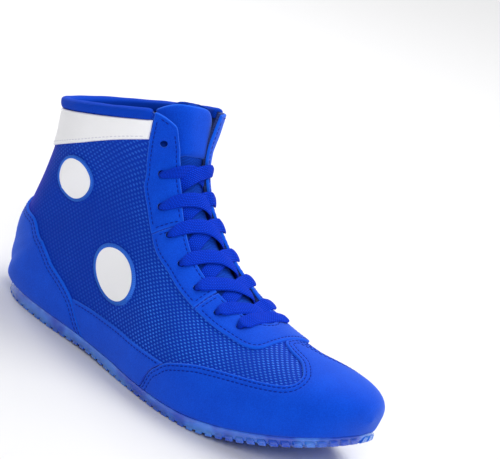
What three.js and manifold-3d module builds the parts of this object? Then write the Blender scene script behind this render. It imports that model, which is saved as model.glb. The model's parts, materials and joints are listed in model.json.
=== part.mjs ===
// A right-foot wrestling shoe, high-topped and laced, standing flat on its sole.
// Millimetres. Toe towards +X, up +Z, lateral side towards -Y.
// The origin is the middle of the shoe's box, on the floor.
import * as THREE from "three";
import { mergeVertices } from "three/addons/utils/BufferGeometryUtils.js";
import Module from "manifold-3d";

const wasm = await Module();
wasm.setup();

// Driving sizes of the last
const LAST_LENGTH = 283; // back of the heel to the tip of the toe
const BALL_WIDTH = 94; // widest place of the forefoot
const HEEL_WIDTH = 68; // waist and heel seat
const COLLAR_WIDTH = 73; // shaft, across
const TOE_DEPTH = 45.5; // feather line to crown, at the front of the ball
const ANKLE_HEIGHT = 123.5; // where the instep has turned up into the shaft
const COLLAR_FRONT_HEIGHT = 155.5;
const COLLAR_BACK_HEIGHT = 125.5;
const TOE_SPRING = 23; // rise of the feather line at the toe
const HEEL_LIFT = 1.5; // feather line at the heel over the ball

// Driving sizes of the sole
const SOLE_THICKNESS = 7; // at the ball, lugs included
const TOE_SOLE_THICKNESS = 4.8;
const LUG_DEPTH = 2.6;
const LUG_PITCH = 13;
const LUG_WIDTH = 7;
const LUG_LENGTH = 13;
const SOLE_MARGIN = 1; // how far the sole stands out past the feather line
const ARCH_LIFT = 1.6;
const HEEL_BEVEL = 2.5;
const PIVOT_RADIUS = 21; // round pad under the ball
const HEEL_PAD_RADIUS = 15;

// Driving sizes of the plies
const WALL = 2; // mesh and lining together
const PLY_GAP = 0.35; // between two plies, and between a ply and the sole
const SUEDE = 1.4;
const BAND = 1.2;
const BADGE = 1;
const INSOLE_THICKNESS = 3;
const TONGUE_THICKNESS = 2.6;
const TONGUE_LEAN = 5; // how far the tongue's top falls back into the shaft
const BINDING_THICKNESS = 1.9;
const BINDING_DEPTH = 4.2; // below the collar's edge
const EYELET_RADIUS = 2.2;
const LACE_WIDTH = 8.4;
const LACE_THICKNESS = 1.9;
const LACE_CLEARANCE = 1.3;
const ROUND_BADGE_RADIUS = 14;
const OVAL_BADGE_LENGTH = 42;
const OVAL_BADGE_WIDTH = 29;

// Sections of the last. Each row is a slice from a point on the bottom or back to a point on the
// crown. Lengths are shares of LAST_LENGTH and widths are shares of the zone's own width. girdle is
// how far up the slice is widest, crown and flank are the powers of its upper and lower curve.
const TOE_ROWS = [
  // bottom, spring, top, depth, centre, edgeLateral, edgeMedial, wideLateral, wideMedial, girdle, crown, flank
  [0.986, 1.0, 1.0, 0.22, 0.085, 0, 0, 0, 0, 0.45, 2.0, 2.0],
  [0.979, 0.97, 0.993, 0.39, 0.085, 0.128, 0.128, 0.138, 0.138, 0.42, 2.2, 2.0],
  [0.958, 0.86, 0.968, 0.543, 0.08, 0.234, 0.223, 0.255, 0.245, 0.38, 2.2, 2.0],
  [0.919, 0.678, 0.926, 0.69, 0.075, 0.33, 0.303, 0.351, 0.33, 0.33, 2.2, 2.0],
  [0.859, 0.435, 0.862, 0.846, 0.064, 0.415, 0.367, 0.436, 0.394, 0.3, 2.1, 2.0],
  [0.784, 0.196, 0.781, 1.0, 0.048, 0.479, 0.415, 0.495, 0.447, 0.27, 2.0, 2.0],
];
const INSTEP_ROWS = [
  // bottom, spring, top, rise, centre, edgeLateral, edgeMedial, wideLateral, wideMedial, girdle, crown, flank
  [0.707, 0.043, 0.7, 0.06, 0.032, 0.511, 0.436, 0.527, 0.473, 0.25, 1.9, 2.0],
  [0.625, 0, 0.618, 0.18, 0.021, 0.511, 0.404, 0.527, 0.457, 0.24, 1.85, 2.0],
  [0.53, 0, 0.539, 0.376, 0.011, 0.468, 0.33, 0.489, 0.404, 0.24, 1.85, 2.0],
];
const WAIST_ROWS = [
  // bottom, lift, top, rise, centre, edgeLateral, edgeMedial, wideLateral, wideMedial, girdle, crown, flank
  [0.431, 0.67, 0.481, 0.594, 0.007, 0.574, 0.397, 0.603, 0.515, 0.24, 1.95, 2.0],
  [0.325, 1.0, 0.451, 0.737, 0, 0.515, 0.412, 0.544, 0.5, 0.24, 2.05, 2.0],
  [0.212, 1.0, 0.435, 0.85, 0, 0.485, 0.434, 0.522, 0.5, 0.25, 2.2, 2.05],
  [0.113, 1.0, 0.425, 0.932, 0, 0.412, 0.397, 0.507, 0.493, 0.27, 2.35, 2.15],
  [0.05, 1.33, 0.419, 1.0, 0, 0.25, 0.25, 0.493, 0.485, 0.3, 2.4, 2.25],
];
const SHAFT_ROWS = [
  // back, backRise, front, frontRise, edge, wideLateral, wideMedial, girdle, crown, flank
  [0.023, 0.03, 0.416, 0.127, 0, 0.445, 0.438, 0.33, 2.45, 2.3],
  [0.009, 0.112, 0.413, 0.238, -0.233, 0.432, 0.432, 0.36, 2.5, 2.3],
  [0.007, 0.226, 0.411, 0.365, -0.356, 0.432, 0.432, 0.38, 2.5, 2.25],
  [0.021, 0.388, 0.409, 0.492, -0.452, 0.452, 0.452, 0.4, 2.5, 2.15],
  [0.039, 0.584, 0.407, 0.635, -0.479, 0.473, 0.473, 0.43, 2.5, 2.1],
  [0.048, 0.797, 0.406, 0.81, -0.479, 0.486, 0.486, 0.46, 2.45, 2.05],
  [0.041, 1.0, 0.406, 1.0, -0.479, 0.5, 0.5, 0.48, 2.4, 2.0],
];

const SEAT_HEIGHT = SOLE_THICKNESS + HEEL_LIFT;
const TOE_CROWN_HEIGHT = SOLE_THICKNESS + TOE_ROWS.at(-1)[1] * TOE_SPRING + TOE_DEPTH;
const between = THREE.MathUtils.lerp;

// A section: the two ends of the slice in the XZ plane, its centre in Y and its half widths.
function section(bottomX, bottomZ, topX, topZ, centre, widths, girdle, crown, flank) {
  const [edgeLateral, edgeMedial, wideLateral, wideMedial] = widths;
  return [
    bottomX, bottomZ, topX, topZ, centre, edgeLateral, edgeMedial, wideLateral, wideMedial,
    girdle, crown, flank,
  ];
}

const SECTIONS = [
  ...TOE_ROWS.map(([bottom, spring, top, depth, centre, eL, eM, wL, wM, ...curve]) => {
    const bottomZ = SOLE_THICKNESS + spring * TOE_SPRING;
    return section(
      bottom * LAST_LENGTH, bottomZ, top * LAST_LENGTH, bottomZ + depth * TOE_DEPTH,
      centre * BALL_WIDTH, [eL, eM, wL, wM].map((share) => share * BALL_WIDTH), ...curve,
    );
  }),
  ...INSTEP_ROWS.map(([bottom, spring, top, rise, centre, eL, eM, wL, wM, ...curve]) =>
    section(
      bottom * LAST_LENGTH, SOLE_THICKNESS + spring * TOE_SPRING,
      top * LAST_LENGTH, between(TOE_CROWN_HEIGHT, ANKLE_HEIGHT, rise),
      centre * BALL_WIDTH, [eL, eM, wL, wM].map((share) => share * BALL_WIDTH), ...curve,
    ),
  ),
  ...WAIST_ROWS.map(([bottom, lift, top, rise, centre, eL, eM, wL, wM, ...curve]) =>
    section(
      bottom * LAST_LENGTH, SOLE_THICKNESS + lift * HEEL_LIFT,
      top * LAST_LENGTH, between(TOE_CROWN_HEIGHT, ANKLE_HEIGHT, rise),
      centre * HEEL_WIDTH, [eL, eM, wL, wM].map((share) => share * HEEL_WIDTH), ...curve,
    ),
  ),
  ...SHAFT_ROWS.map(([back, backRise, front, frontRise, edge, wL, wM, ...curve]) =>
    section(
      back * LAST_LENGTH, between(SEAT_HEIGHT, COLLAR_BACK_HEIGHT, backRise),
      front * LAST_LENGTH, between(ANKLE_HEIGHT, COLLAR_FRONT_HEIGHT, frontRise),
      0, [edge, edge, wL, wM].map((share) => share * COLLAR_WIDTH), ...curve,
    ),
  ),
];
const HEEL_ROW = TOE_ROWS.length + INSTEP_ROWS.length + WAIST_ROWS.length; // first closed slice
const COLLAR_ROW = SECTIONS.length - 1;

// The section at any row number, by a Catmull-Rom curve through the table. The toe mirrors its
// widths, so that the last comes round the tip, and the collar runs on straight.
const BEFORE_TOE = SECTIONS[1].map((value, i) => (i >= 5 && i <= 8 ? -value : value));
const PAST_COLLAR = SECTIONS.at(-1).map((value, i) => 2 * value - SECTIONS.at(-2)[i]);
const KNOTS = [BEFORE_TOE, ...SECTIONS, PAST_COLLAR];

function sectionAt(row) {
  const i = THREE.MathUtils.clamp(Math.floor(row), 0, SECTIONS.length - 2);
  const t = row - i;
  const [a, b, c, d] = KNOTS.slice(i, i + 4);
  return b.map(
    (_, k) =>
      0.5 *
      (2 * b[k] +
        (c[k] - a[k]) * t +
        (2 * a[k] - 5 * b[k] + 4 * c[k] - d[k]) * t ** 2 +
        (3 * b[k] - a[k] - 3 * c[k] + d[k]) * t ** 3),
  );
}

// A point of the last. row counts sections from the toe; around goes from -1 at the lateral feather
// line over 0 on the crown to 1 at the medial feather line, and past the heel row it closes at +-1.
// An around past 1 lies below the feather line.
const GIRDLE_REACH = 0.95;
function lastPoint(row, around) {
  const [bottomX, bottomZ, topX, topZ, centre, eL, eM, wL, wM, girdle, crown, flank] =
    sectionAt(row);
  const side = around < 0 ? -1 : 1;
  const edge = Math.max(around < 0 ? eL : eM, 0);
  const wide = around < 0 ? wL : wM;
  const reach = Math.abs(around);
  const turn = 1 - girdle * GIRDLE_REACH;
  let out;
  let up;
  if (reach < turn) {
    const angle = (reach / turn) * (Math.PI / 2);
    out = wide * Math.sin(angle) ** (2 / crown);
    up = girdle + (1 - girdle) * Math.cos(angle) ** (2 / crown);
  } else if (reach > 1) {
    out = edge;
    up = row > HEEL_ROW ? 0 : 1 - reach;
  } else {
    const angle = ((reach - turn) / (1 - turn)) * (Math.PI / 2);
    out = edge + (wide - edge) * Math.max(Math.cos(angle), 0) ** (2 / flank);
    up = girdle * (1 - Math.sin(angle) ** (2 / flank));
  }
  return new THREE.Vector3(
    between(bottomX, topX, up),
    centre + side * out,
    between(bottomZ, topZ, up),
  );
}

// The same point where row may pass the tip of the toe and around may pass the back of the heel.
function lastPointWrapped(row, around) {
  if (row < 0) return lastPointWrapped(-row, -around);
  if (Math.abs(around) <= 1) return lastPoint(row, around);
  if (row < HEEL_ROW) return lastPoint(row, Math.sign(around));
  return lastPoint(row, around - 2 * Math.sign(around));
}

// The way out of the last, level at the least, so that plies hang straight down to the sole. The end
// of the crown at the tip of the toe has no slope of its own, and takes the one beside it.
const NORMAL_STEP = 0.02;
function lastNormal(row, at) {
  const isCrownEnd = row < NORMAL_STEP && Math.abs(at) < NORMAL_STEP;
  const around = isCrownEnd ? 4 * NORMAL_STEP : at;
  const alongRows = lastPointWrapped(row + NORMAL_STEP, around).sub(
    lastPointWrapped(row - NORMAL_STEP, around),
  );
  const alongAround = lastPointWrapped(row, around + NORMAL_STEP).sub(
    lastPointWrapped(row, around - NORMAL_STEP),
  );
  const normal = alongAround.cross(alongRows).normalize();
  normal.z = Math.max(normal.z, 0);
  return normal.normalize();
}

function offLast(row, around, height) {
  return lastPoint(row, around).addScaledVector(lastNormal(row, around), height);
}

// A smooth line of [row, around] places through a seam's chosen points, s from 0 to 1.
function seamAt(points, s) {
  const place = s * (points.length - 1);
  const i = Math.min(Math.floor(place), points.length - 2);
  const t = place - i;
  const b = points[i];
  const c = points[i + 1];
  const a = points[i - 1] ?? b.map((value, k) => 2 * value - c[k]);
  const d = points[i + 2] ?? c.map((value, k) => 2 * value - b[k]);
  return b.map(
    (_, k) =>
      0.5 *
      (2 * b[k] +
        (c[k] - a[k]) * t +
        (2 * a[k] - 5 * b[k] + 4 * c[k] - d[k]) * t ** 2 +
        (3 * b[k] - a[k] - 3 * c[k] + d[k]) * t ** 3),
  );
}

const mirrored = (points) => points.map(([row, around]) => [row, -around]);
const bothSides = (points) => [...points, ...mirrored(points).reverse().slice(1)];

// A closed solid from vertices and triangles, as a manifold.
function solid(vertices, triangles) {
  return new wasm.Manifold(
    new wasm.Mesh({
      numProp: 3,
      vertProperties: new Float32Array(vertices.flatMap((v) => [v.x, v.y, v.z])),
      triVerts: new Uint32Array(triangles.flat()),
    }),
  );
}

function solidOf(geometry) {
  const bare = geometry.clone();
  bare.deleteAttribute("normal");
  bare.deleteAttribute("uv");
  const merged = mergeVertices(bare, 1e-4);
  return new wasm.Manifold(
    new wasm.Mesh({
      numProp: 3,
      vertProperties: merged.attributes.position.array,
      triVerts: new Uint32Array(merged.index.array),
    }),
  );
}

// A grid of places with at(s, t) for s and t from 0 to 1.
function pattern(columns, rows, at) {
  const places = [];
  const triangles = [];
  for (let i = 0; i <= columns; i += 1) {
    for (let j = 0; j <= rows; j += 1) {
      places.push(at(i / columns, j / rows));
      if (i < columns && j < rows) {
        const k = i * (rows + 1) + j;
        triangles.push([k, k + rows + 1, k + 1], [k + 1, k + rows + 1, k + rows + 2]);
      }
    }
  }
  return { places, triangles };
}

// A pattern ruled straight from one seam to another.
const ruled = (from, to, columns, rows) =>
  pattern(columns, rows, (s, t) => {
    const a = seamAt(from, s);
    const b = seamAt(to, s);
    return [between(a[0], b[0], t), between(a[1], b[1], t)];
  });

// The pattern as a closed shell between two heights over the last. Places that fall on one point,
// as at the tip of the toe and the back of the heel, are joined. A height may vary with the place.
const MERGE = 1e3;
function laid({ places, triangles }, inner, outer) {
  const found = new Map();
  const index = [];
  const low = [];
  const high = [];
  const heightAt = (height, place) => (typeof height === "function" ? height(...place) : height);
  places.forEach(([row, around]) => {
    const point = lastPoint(row, around);
    const key = point.toArray().map((value) => Math.round(value * MERGE)).join();
    if (!found.has(key)) {
      found.set(key, low.length);
      low.push(offLast(row, around, heightAt(inner, [row, around])));
      high.push(offLast(row, around, heightAt(outer, [row, around])));
    }
    index.push(found.get(key));
  });
  return shell(low, high, triangles.map((corner) => corner.map((k) => index[k])));
}

// A closed shell from matching low and high vertices and the triangles that join them.
function shell(low, high, triangles) {
  const count = low.length;
  const kept = triangles.filter(([a, b, c]) => a !== b && b !== c && c !== a);
  const facing = kept.reduce((sum, [a, b, c]) => {
    const ab = high[b].clone().sub(high[a]);
    const ac = high[c].clone().sub(high[a]);
    return sum + ab.cross(ac).dot(high[a].clone().sub(low[a]));
  }, 0);
  const faces = [];
  const edges = new Map();
  for (const corner of kept) {
    const [p, q, r] = facing > 0 ? corner : corner.toReversed();
    faces.push([p + count, q + count, r + count], [r, q, p]);
    for (const [from, to] of [[p, q], [q, r], [r, p]]) {
      if (!edges.delete(`${to},${from}`)) edges.set(`${from},${to}`, [from, to]);
    }
  }
  for (const [from, to] of edges.values()) {
    faces.push([to + count, from + count, from], [to + count, from, to]);
  }
  return solid([...low, ...high], faces);
}

// A place a few millimetres from another on the last: right is level and forwards, up is uphill.
const NUDGE_ROUNDS = 4;
function nudged(start, right, up) {
  const origin = lastPoint(...start);
  const normal = lastNormal(...start);
  const level = new THREE.Vector3(0, 0, 1).cross(normal).normalize();
  const uphill = normal.clone().cross(level);
  if (level.x < 0) level.negate();
  const goal = origin.addScaledVector(level, right).addScaledVector(uphill, up);
  let [row, around] = start;
  for (let round = 0; round < NUDGE_ROUNDS; round += 1) {
    const here = lastPoint(row, around);
    const byRow = lastPoint(row + NORMAL_STEP, around).sub(here).divideScalar(NORMAL_STEP);
    const byAround = lastPoint(row, around + NORMAL_STEP).sub(here).divideScalar(NORMAL_STEP);
    const wanted = goal.clone().sub(here);
    const [rr, ra, aa] = [byRow.dot(byRow), byRow.dot(byAround), byAround.dot(byAround)];
    const [wr, wa] = [wanted.dot(byRow), wanted.dot(byAround)];
    const scale = rr * aa - ra * ra;
    row += (wr * aa - wa * ra) / scale;
    around += (wa * rr - wr * ra) / scale;
  }
  return [row, around];
}

// Seams, as [row, around] places on the last, lateral side
const PAST_RIM = COLLAR_ROW + 0.5;
const EYESTAY_REAR_SEAM = [
  [PAST_RIM, -0.28], [18.95, -0.294], [17.65, -0.306], [16.15, -0.312], [14.35, -0.312],
  [11.65, -0.344], [10.5, -0.369], [9.87, -0.385],
];
const EYESTAY_THROAT_SEAM = [
  [18.75, -0.162], [17.9, -0.15], [16.9, -0.144], [13.9, -0.131], [11.1, -0.144],
  [9.9, -0.169], [9.2, -0.187],
];
const MEDIAL_THROAT_SEAM = [
  [PAST_RIM, 0.098], [18.6, 0.078], [16.9, 0.064], [13.9, 0.062], [11.1, 0.105],
  [9.9, 0.152], [9.2, 0.187],
];
const MIDDLE_REAR_SEAM = [[9.83, -0.386], [9.05, -0.4], [8.35, -0.378], [7.8, -0.369], [7.24, -0.352]];
const MIDDLE_THROAT_SEAM = [[9.16, -0.188], [8.5, -0.206], [8.25, -0.207], [7.75, -0.2], [7.2, -0.18]];
const FRONT_OUTER_SEAM = [
  [7.2, -0.35], [6.6, -0.331], [6.05, -0.308], [5.5, -0.281], [5.25, -0.225], [5.2, -0.112], [5.2, 0],
];
const FRONT_THROAT_SEAM = [
  [7.16, -0.178], [6.9, -0.166], [6.6, -0.15], [6.25, -0.122], [6.0, -0.08], [5.9, -0.04], [5.88, 0],
];
const BELOW_FEATHER = 1.06;
const TOE_CAP_SEAM = [
  [7.6, -BELOW_FEATHER], [7.42, -0.83], [7.22, -0.756], [7.0, -0.688], [6.65, -0.631], [6.1, -0.562],
  [5.55, -0.519], [5.0, -0.487], [4.45, -0.456], [3.95, -0.412], [3.75, -0.35], [3.8, -0.262],
  [4.05, -0.188], [4.35, -0.131], [4.8, -0.094], [5.12, -0.055], [5.17, 0],
];
const COUNTER_SEAM = [
  [9.6, -BELOW_FEATHER], [9.98, -0.9], [10.65, -0.806], [11.95, -0.744], [13.55, -0.7], [15.3, -0.7],
  [16.3, -0.76], [17.1, -0.88], [17.4, -1],
];
const COUNTER_FEATHER = [
  [9.6, -BELOW_FEATHER], [10.5, -BELOW_FEATHER], [11.5, -BELOW_FEATHER], [12.6, -BELOW_FEATHER],
  [13.5, -BELOW_FEATHER], [14, -BELOW_FEATHER],
];
const STRIP_SEAMS = [
  // from the counter, over the waist, to the toe cap
  [[9.56, -BELOW_FEATHER], [9.94, -0.9], [10.5, -0.812]],
  [[8.75, -BELOW_FEATHER], [8.75, -0.9], [8.75, -0.774]],
  [[7.64, -BELOW_FEATHER], [7.46, -0.83], [7.08, -0.7]],
];
const BAND_LOWER_SEAM = [[18.1, -0.322], [18.42, -0.45], [18.6, -0.6], [18.7, -0.78], [18.75, -1]];
const EYELETS = [
  [17.4, -0.231], [13.55, -0.237], [10.7, -0.287], [9.25, -0.294], [8.3, -0.29], [7.55, -0.275],
  [6.75, -0.258], [6.1, -0.212],
];
const FIRST_LACED = 1; // the top pair of eyelets is left empty
const TONGUE_SEAM = [
  [20.35, -0.2], [20.0, -0.262], [19.2, -0.282], [16.5, -0.265], [13, -0.265], [10.2, -0.28],
  [8.6, -0.29],
  [7.2, -0.26], [6.2, -0.22], [5.4, -0.17], [4.9, -0.12],
];
const ROUND_BADGE_PLACE = [16.9, -0.597];
const OVAL_BADGE_PLACE = [9.9, -0.625];
const OVAL_BADGE_TILT = -0.42; // radians, front end down

// Heights over the last
const SUEDE_LOW = PLY_GAP;
const SUEDE_HIGH = SUEDE_LOW + SUEDE;

// Where an eyelet's hole goes through, a short bar square to the last
const EYELET_SIDES = 6;
const EYELET_BAR = 4 * (WALL + SUEDE_HIGH);
function eyeletBar(place) {
  const bar = new THREE.CylinderGeometry(EYELET_RADIUS, EYELET_RADIUS, EYELET_BAR, EYELET_SIDES);
  const turn = new THREE.Quaternion().setFromUnitVectors(
    new THREE.Vector3(0, 1, 0),
    lastNormal(...place),
  );
  bar.applyQuaternion(turn);
  bar.translate(...lastPoint(...place).toArray());
  return solidOf(bar);
}
const punched = (piece, places) =>
  places.reduce((rest, place) => rest.subtract(eyeletBar(place)), piece);
const medialEyelets = mirrored(EYELETS);

// Upper: one hollow wall over the whole last, open at the collar and underneath, slit at the throat
const GRID_ROWS = [0.5, 1.5, 2.5, 3.5]; // halfway rows round the toe
for (let row = 0; row <= COLLAR_ROW; row += 1) GRID_ROWS.push(row);
GRID_ROWS.sort((a, b) => a - b);
const BINDING_START = 0.3; // where the collar's binding meets the eyestay
const GRID_SIDE = [BINDING_START / 2, BINDING_START, 0.4, 0.5, 0.6, 0.7, 0.8, 0.9, 1];
const GRID_AROUND = [...GRID_SIDE.map((around) => -around).reverse(), 0, ...GRID_SIDE];
const gridTo = (rows) =>
  pattern(rows.length - 1, GRID_AROUND.length - 1, (s, t) => [
    rows[Math.round(s * (rows.length - 1))],
    GRID_AROUND[Math.round(t * (GRID_AROUND.length - 1))],
  ]);
const CUT_DEPTH = 5; // how far a cut reaches above and below the last
const FRONT_OF_THROAT = [
  ...MIDDLE_THROAT_SEAM.slice(1, -1), ...FRONT_THROAT_SEAM.slice(0, -1), [5.88, -0.012],
];
const SLIT_LATERAL = [
  [PAST_RIM + 0.3, -0.262], [19.5, -0.235], ...EYESTAY_THROAT_SEAM, ...FRONT_OF_THROAT,
];
const SLIT_MEDIAL = [
  [PAST_RIM + 0.3, 0.1], [19.5, 0.09], ...MEDIAL_THROAT_SEAM.slice(1), [9.2, 0.187],
  ...mirrored(FRONT_OF_THROAT),
];
function upper() {
  const wall = laid(gridTo(GRID_ROWS), -WALL, 0);
  const slit = laid(ruled(SLIT_LATERAL, SLIT_MEDIAL, 16, 3), -CUT_DEPTH, CUT_DEPTH);
  return punched(wall.subtract(slit), [...EYELETS, ...medialEyelets]);
}

// A ply over the upper: the upper's own facets, moved out and cut to a pattern.
function ply(cut, low, high) {
  return laid(gridTo(GRID_ROWS), low, high).intersect(laid(cut, -CUT_DEPTH, CUT_DEPTH));
}

// Toe cap: from the tip of the toe back to its seam, over both sides
function toeCap() {
  const seam = bothSides(TOE_CAP_SEAM);
  const cut = pattern(18, 5, (s, t) => {
    const [row, around] = seamAt(seam, s);
    return [row * t, between(BELOW_FEATHER * (2 * s - 1), around, t)];
  });
  return ply(cut, SUEDE_LOW, SUEDE_HIGH);
}

// A pattern between two seams that both run from the lateral side to the middle of the heel, and
// on round it to the medial side.
function roundHeel(low, high, columns, rows) {
  return pattern(columns, rows, (s, t) => {
    const half = 2 * Math.min(s, 1 - s);
    const [lowRow, lowAround] = seamAt(low, half);
    const [highRow, highAround] = seamAt(high, half);
    const around = between(lowAround, highAround, t);
    return [between(lowRow, highRow, t), s > 0.5 ? -around : around];
  });
}

// White band under the collar's binding, from one eyestay round the back to the other
function collarBand() {
  const top = BAND_LOWER_SEAM.map(([, around]) => [belowCollar(around), around]);
  return ply(roundHeel(BAND_LOWER_SEAM, top, 12, 1), PLY_GAP, PLY_GAP + BAND);
}
// The row that lies just clear of the binding's lower edge
function belowCollar(around) {
  const rim = lastPoint(COLLAR_ROW, around);
  const fall = rim.distanceTo(lastPoint(COLLAR_ROW - 0.5, around)) / 0.5;
  return COLLAR_ROW - (BINDING_DEPTH + 2 * PLY_GAP) / fall;
}

// Binding: a padded roll folded over the collar's edge, from eyestay to eyestay
function collarBinding() {
  const inside = -WALL - PLY_GAP;
  const swell = BINDING_THICKNESS / 3;
  const profile = [
    // out from the last, up from the collar's edge
    [PLY_GAP, -BINDING_DEPTH],
    [PLY_GAP + BINDING_THICKNESS, -BINDING_DEPTH],
    [PLY_GAP + BINDING_THICKNESS + swell, 0],
    [PLY_GAP, PLY_GAP + BINDING_THICKNESS],
    [inside, PLY_GAP + BINDING_THICKNESS],
    [inside - BINDING_THICKNESS - swell, 0],
    [inside - BINDING_THICKNESS, -BINDING_DEPTH],
    [inside, -BINDING_DEPTH],
    [inside, PLY_GAP],
    [PLY_GAP, PLY_GAP],
  ];
  const stations = GRID_SIDE.filter((around) => around >= BINDING_START);
  const rings = [];
  for (const around of [...stations.map((value) => -value), ...stations.reverse().slice(1)]) {
    const edge = lastPoint(COLLAR_ROW, around);
    const up = edge.clone().sub(lastPoint(COLLAR_ROW - NORMAL_STEP, around)).normalize();
    const out = lastNormal(COLLAR_ROW, around);
    rings.push(
      profile.map(([across, rise]) =>
        edge.clone().addScaledVector(out, across).addScaledVector(up, rise),
      ),
    );
  }
  return swept(rings);
}

// A closed solid from rings of matching points, flat at both ends.
function swept(rings) {
  const size = rings[0].length;
  const faces = [];
  for (let i = 0; i + 1 < rings.length; i += 1) {
    for (let j = 0; j < size; j += 1) {
      const next = (j + 1) % size;
      const [a, b] = [i * size + j, i * size + next];
      faces.push([a, a + size, b], [b, a + size, b + size]);
    }
  }
  const flat = rings[0].map((_, k) => k);
  const caps = THREE.ShapeUtils.triangulateShape(flatOutline(rings[0]), []);
  const last = (rings.length - 1) * size;
  for (const [a, b, c] of caps) {
    faces.push([flat[a], flat[b], flat[c]], [last + flat[c], last + flat[b], last + flat[a]]);
  }
  const made = solid(rings.flat(), faces);
  return made.volume() < 0 ? solid(rings.flat(), faces.map(([a, b, c]) => [a, c, b])) : made;
}

// The ring's points in its own plane, turning left.
function flatOutline(ring) {
  const middle = ring.reduce((sum, p) => sum.add(p), new THREE.Vector3()).divideScalar(ring.length);
  const normal = new THREE.Vector3();
  ring.forEach((p, k) => {
    const q = ring[(k + 1) % ring.length];
    normal.add(p.clone().sub(middle).cross(q.clone().sub(middle)));
  });
  normal.normalize();
  const right = ring[0].clone().sub(middle).normalize();
  const up = normal.clone().cross(right);
  return ring.map((p) => {
    const d = p.clone().sub(middle);
    return new THREE.Vector2(d.dot(right), d.dot(up));
  });
}

// Tongue: a padded sheet under the throat, whose top leans back into the shaft
const TONGUE_ROWS = [...GRID_ROWS.filter((row) => row >= 4), COLLAR_ROW + 1];
function tongue() {
  const lean = (row) => TONGUE_LEAN * Math.max((row - 14) / (COLLAR_ROW - 14), 0) ** 2;
  const under = WALL + PLY_GAP;
  const sheet = laid(
    gridTo(TONGUE_ROWS),
    (row) => -under - TONGUE_THICKNESS - lean(row),
    (row) => -under - lean(row),
  );
  const cut = ruled(TONGUE_SEAM, mirrored(TONGUE_SEAM), 12, 3);
  return sheet.intersect(laid(cut, -4 * CUT_DEPTH, 0));
}

// The feather line in plan, moved out by a margin: a lateral and a medial point for each row.
function featherPair(row, margin) {
  const moved = (side) => {
    const at = (r) => (r < 0 ? lastPoint(-r, -side) : lastPoint(r, side));
    const past = row + NORMAL_STEP > HEEL_ROW ? lastPoint(HEEL_ROW - NORMAL_STEP, -side) : null;
    const along = (past ?? at(row + NORMAL_STEP)).sub(at(row - NORMAL_STEP));
    const out = new THREE.Vector3(-along.y * -side, along.x * -side, 0).normalize();
    return at(row).addScaledVector(out, margin);
  };
  return [moved(-1), moved(1)];
}

// How high the tread lies over the floor: flat under heel and ball, up at the toe, arch and back.
const BALL_START = 0.5;
const BALL_END = 0.7;
const HEEL_START = 0.075;
const HEEL_END = 0.25;
const SPRING_POWER = 1.5;
function treadHeight(x) {
  const along = x / LAST_LENGTH;
  if (along > BALL_END) {
    const rise = TOE_SPRING + SOLE_THICKNESS - TOE_SOLE_THICKNESS;
    return rise * ((along - BALL_END) / (1 - BALL_END)) ** SPRING_POWER;
  }
  if (along < HEEL_START) return HEEL_BEVEL * (1 - along / HEEL_START) ** 2;
  if (along <= HEEL_END || along >= BALL_START) return 0;
  return ARCH_LIFT * Math.sin((Math.PI * (along - HEEL_END)) / (BALL_START - HEEL_END)) ** 2;
}

// A flat layer inside the feather line: top(point) and bottom(point) give its heights.
function layer(margin, top, bottom) {
  const stations = GRID_ROWS.filter((row) => row <= HEEL_ROW);
  const high = [];
  const low = [];
  const put = (p) => {
    high.push(new THREE.Vector3(p.x, p.y, top(p)));
    low.push(new THREE.Vector3(p.x, p.y, bottom(p)));
    return high.length - 1;
  };
  const pairs = [];
  for (const row of stations) {
    const [lateral, medial] = featherPair(row, margin);
    const isEnd = row === 0 || row === HEEL_ROW;
    const first = put(isEnd ? lateral.lerp(medial, 0.5) : lateral);
    pairs.push([first, isEnd ? first : put(medial)]);
  }
  const triangles = [];
  for (let i = 0; i + 1 < stations.length; i += 1) {
    const [a, b] = pairs[i];
    const [c, d] = pairs[i + 1];
    triangles.push([a, b, c], [b, d, c]);
  }
  return shell(low, high, triangles);
}

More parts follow.
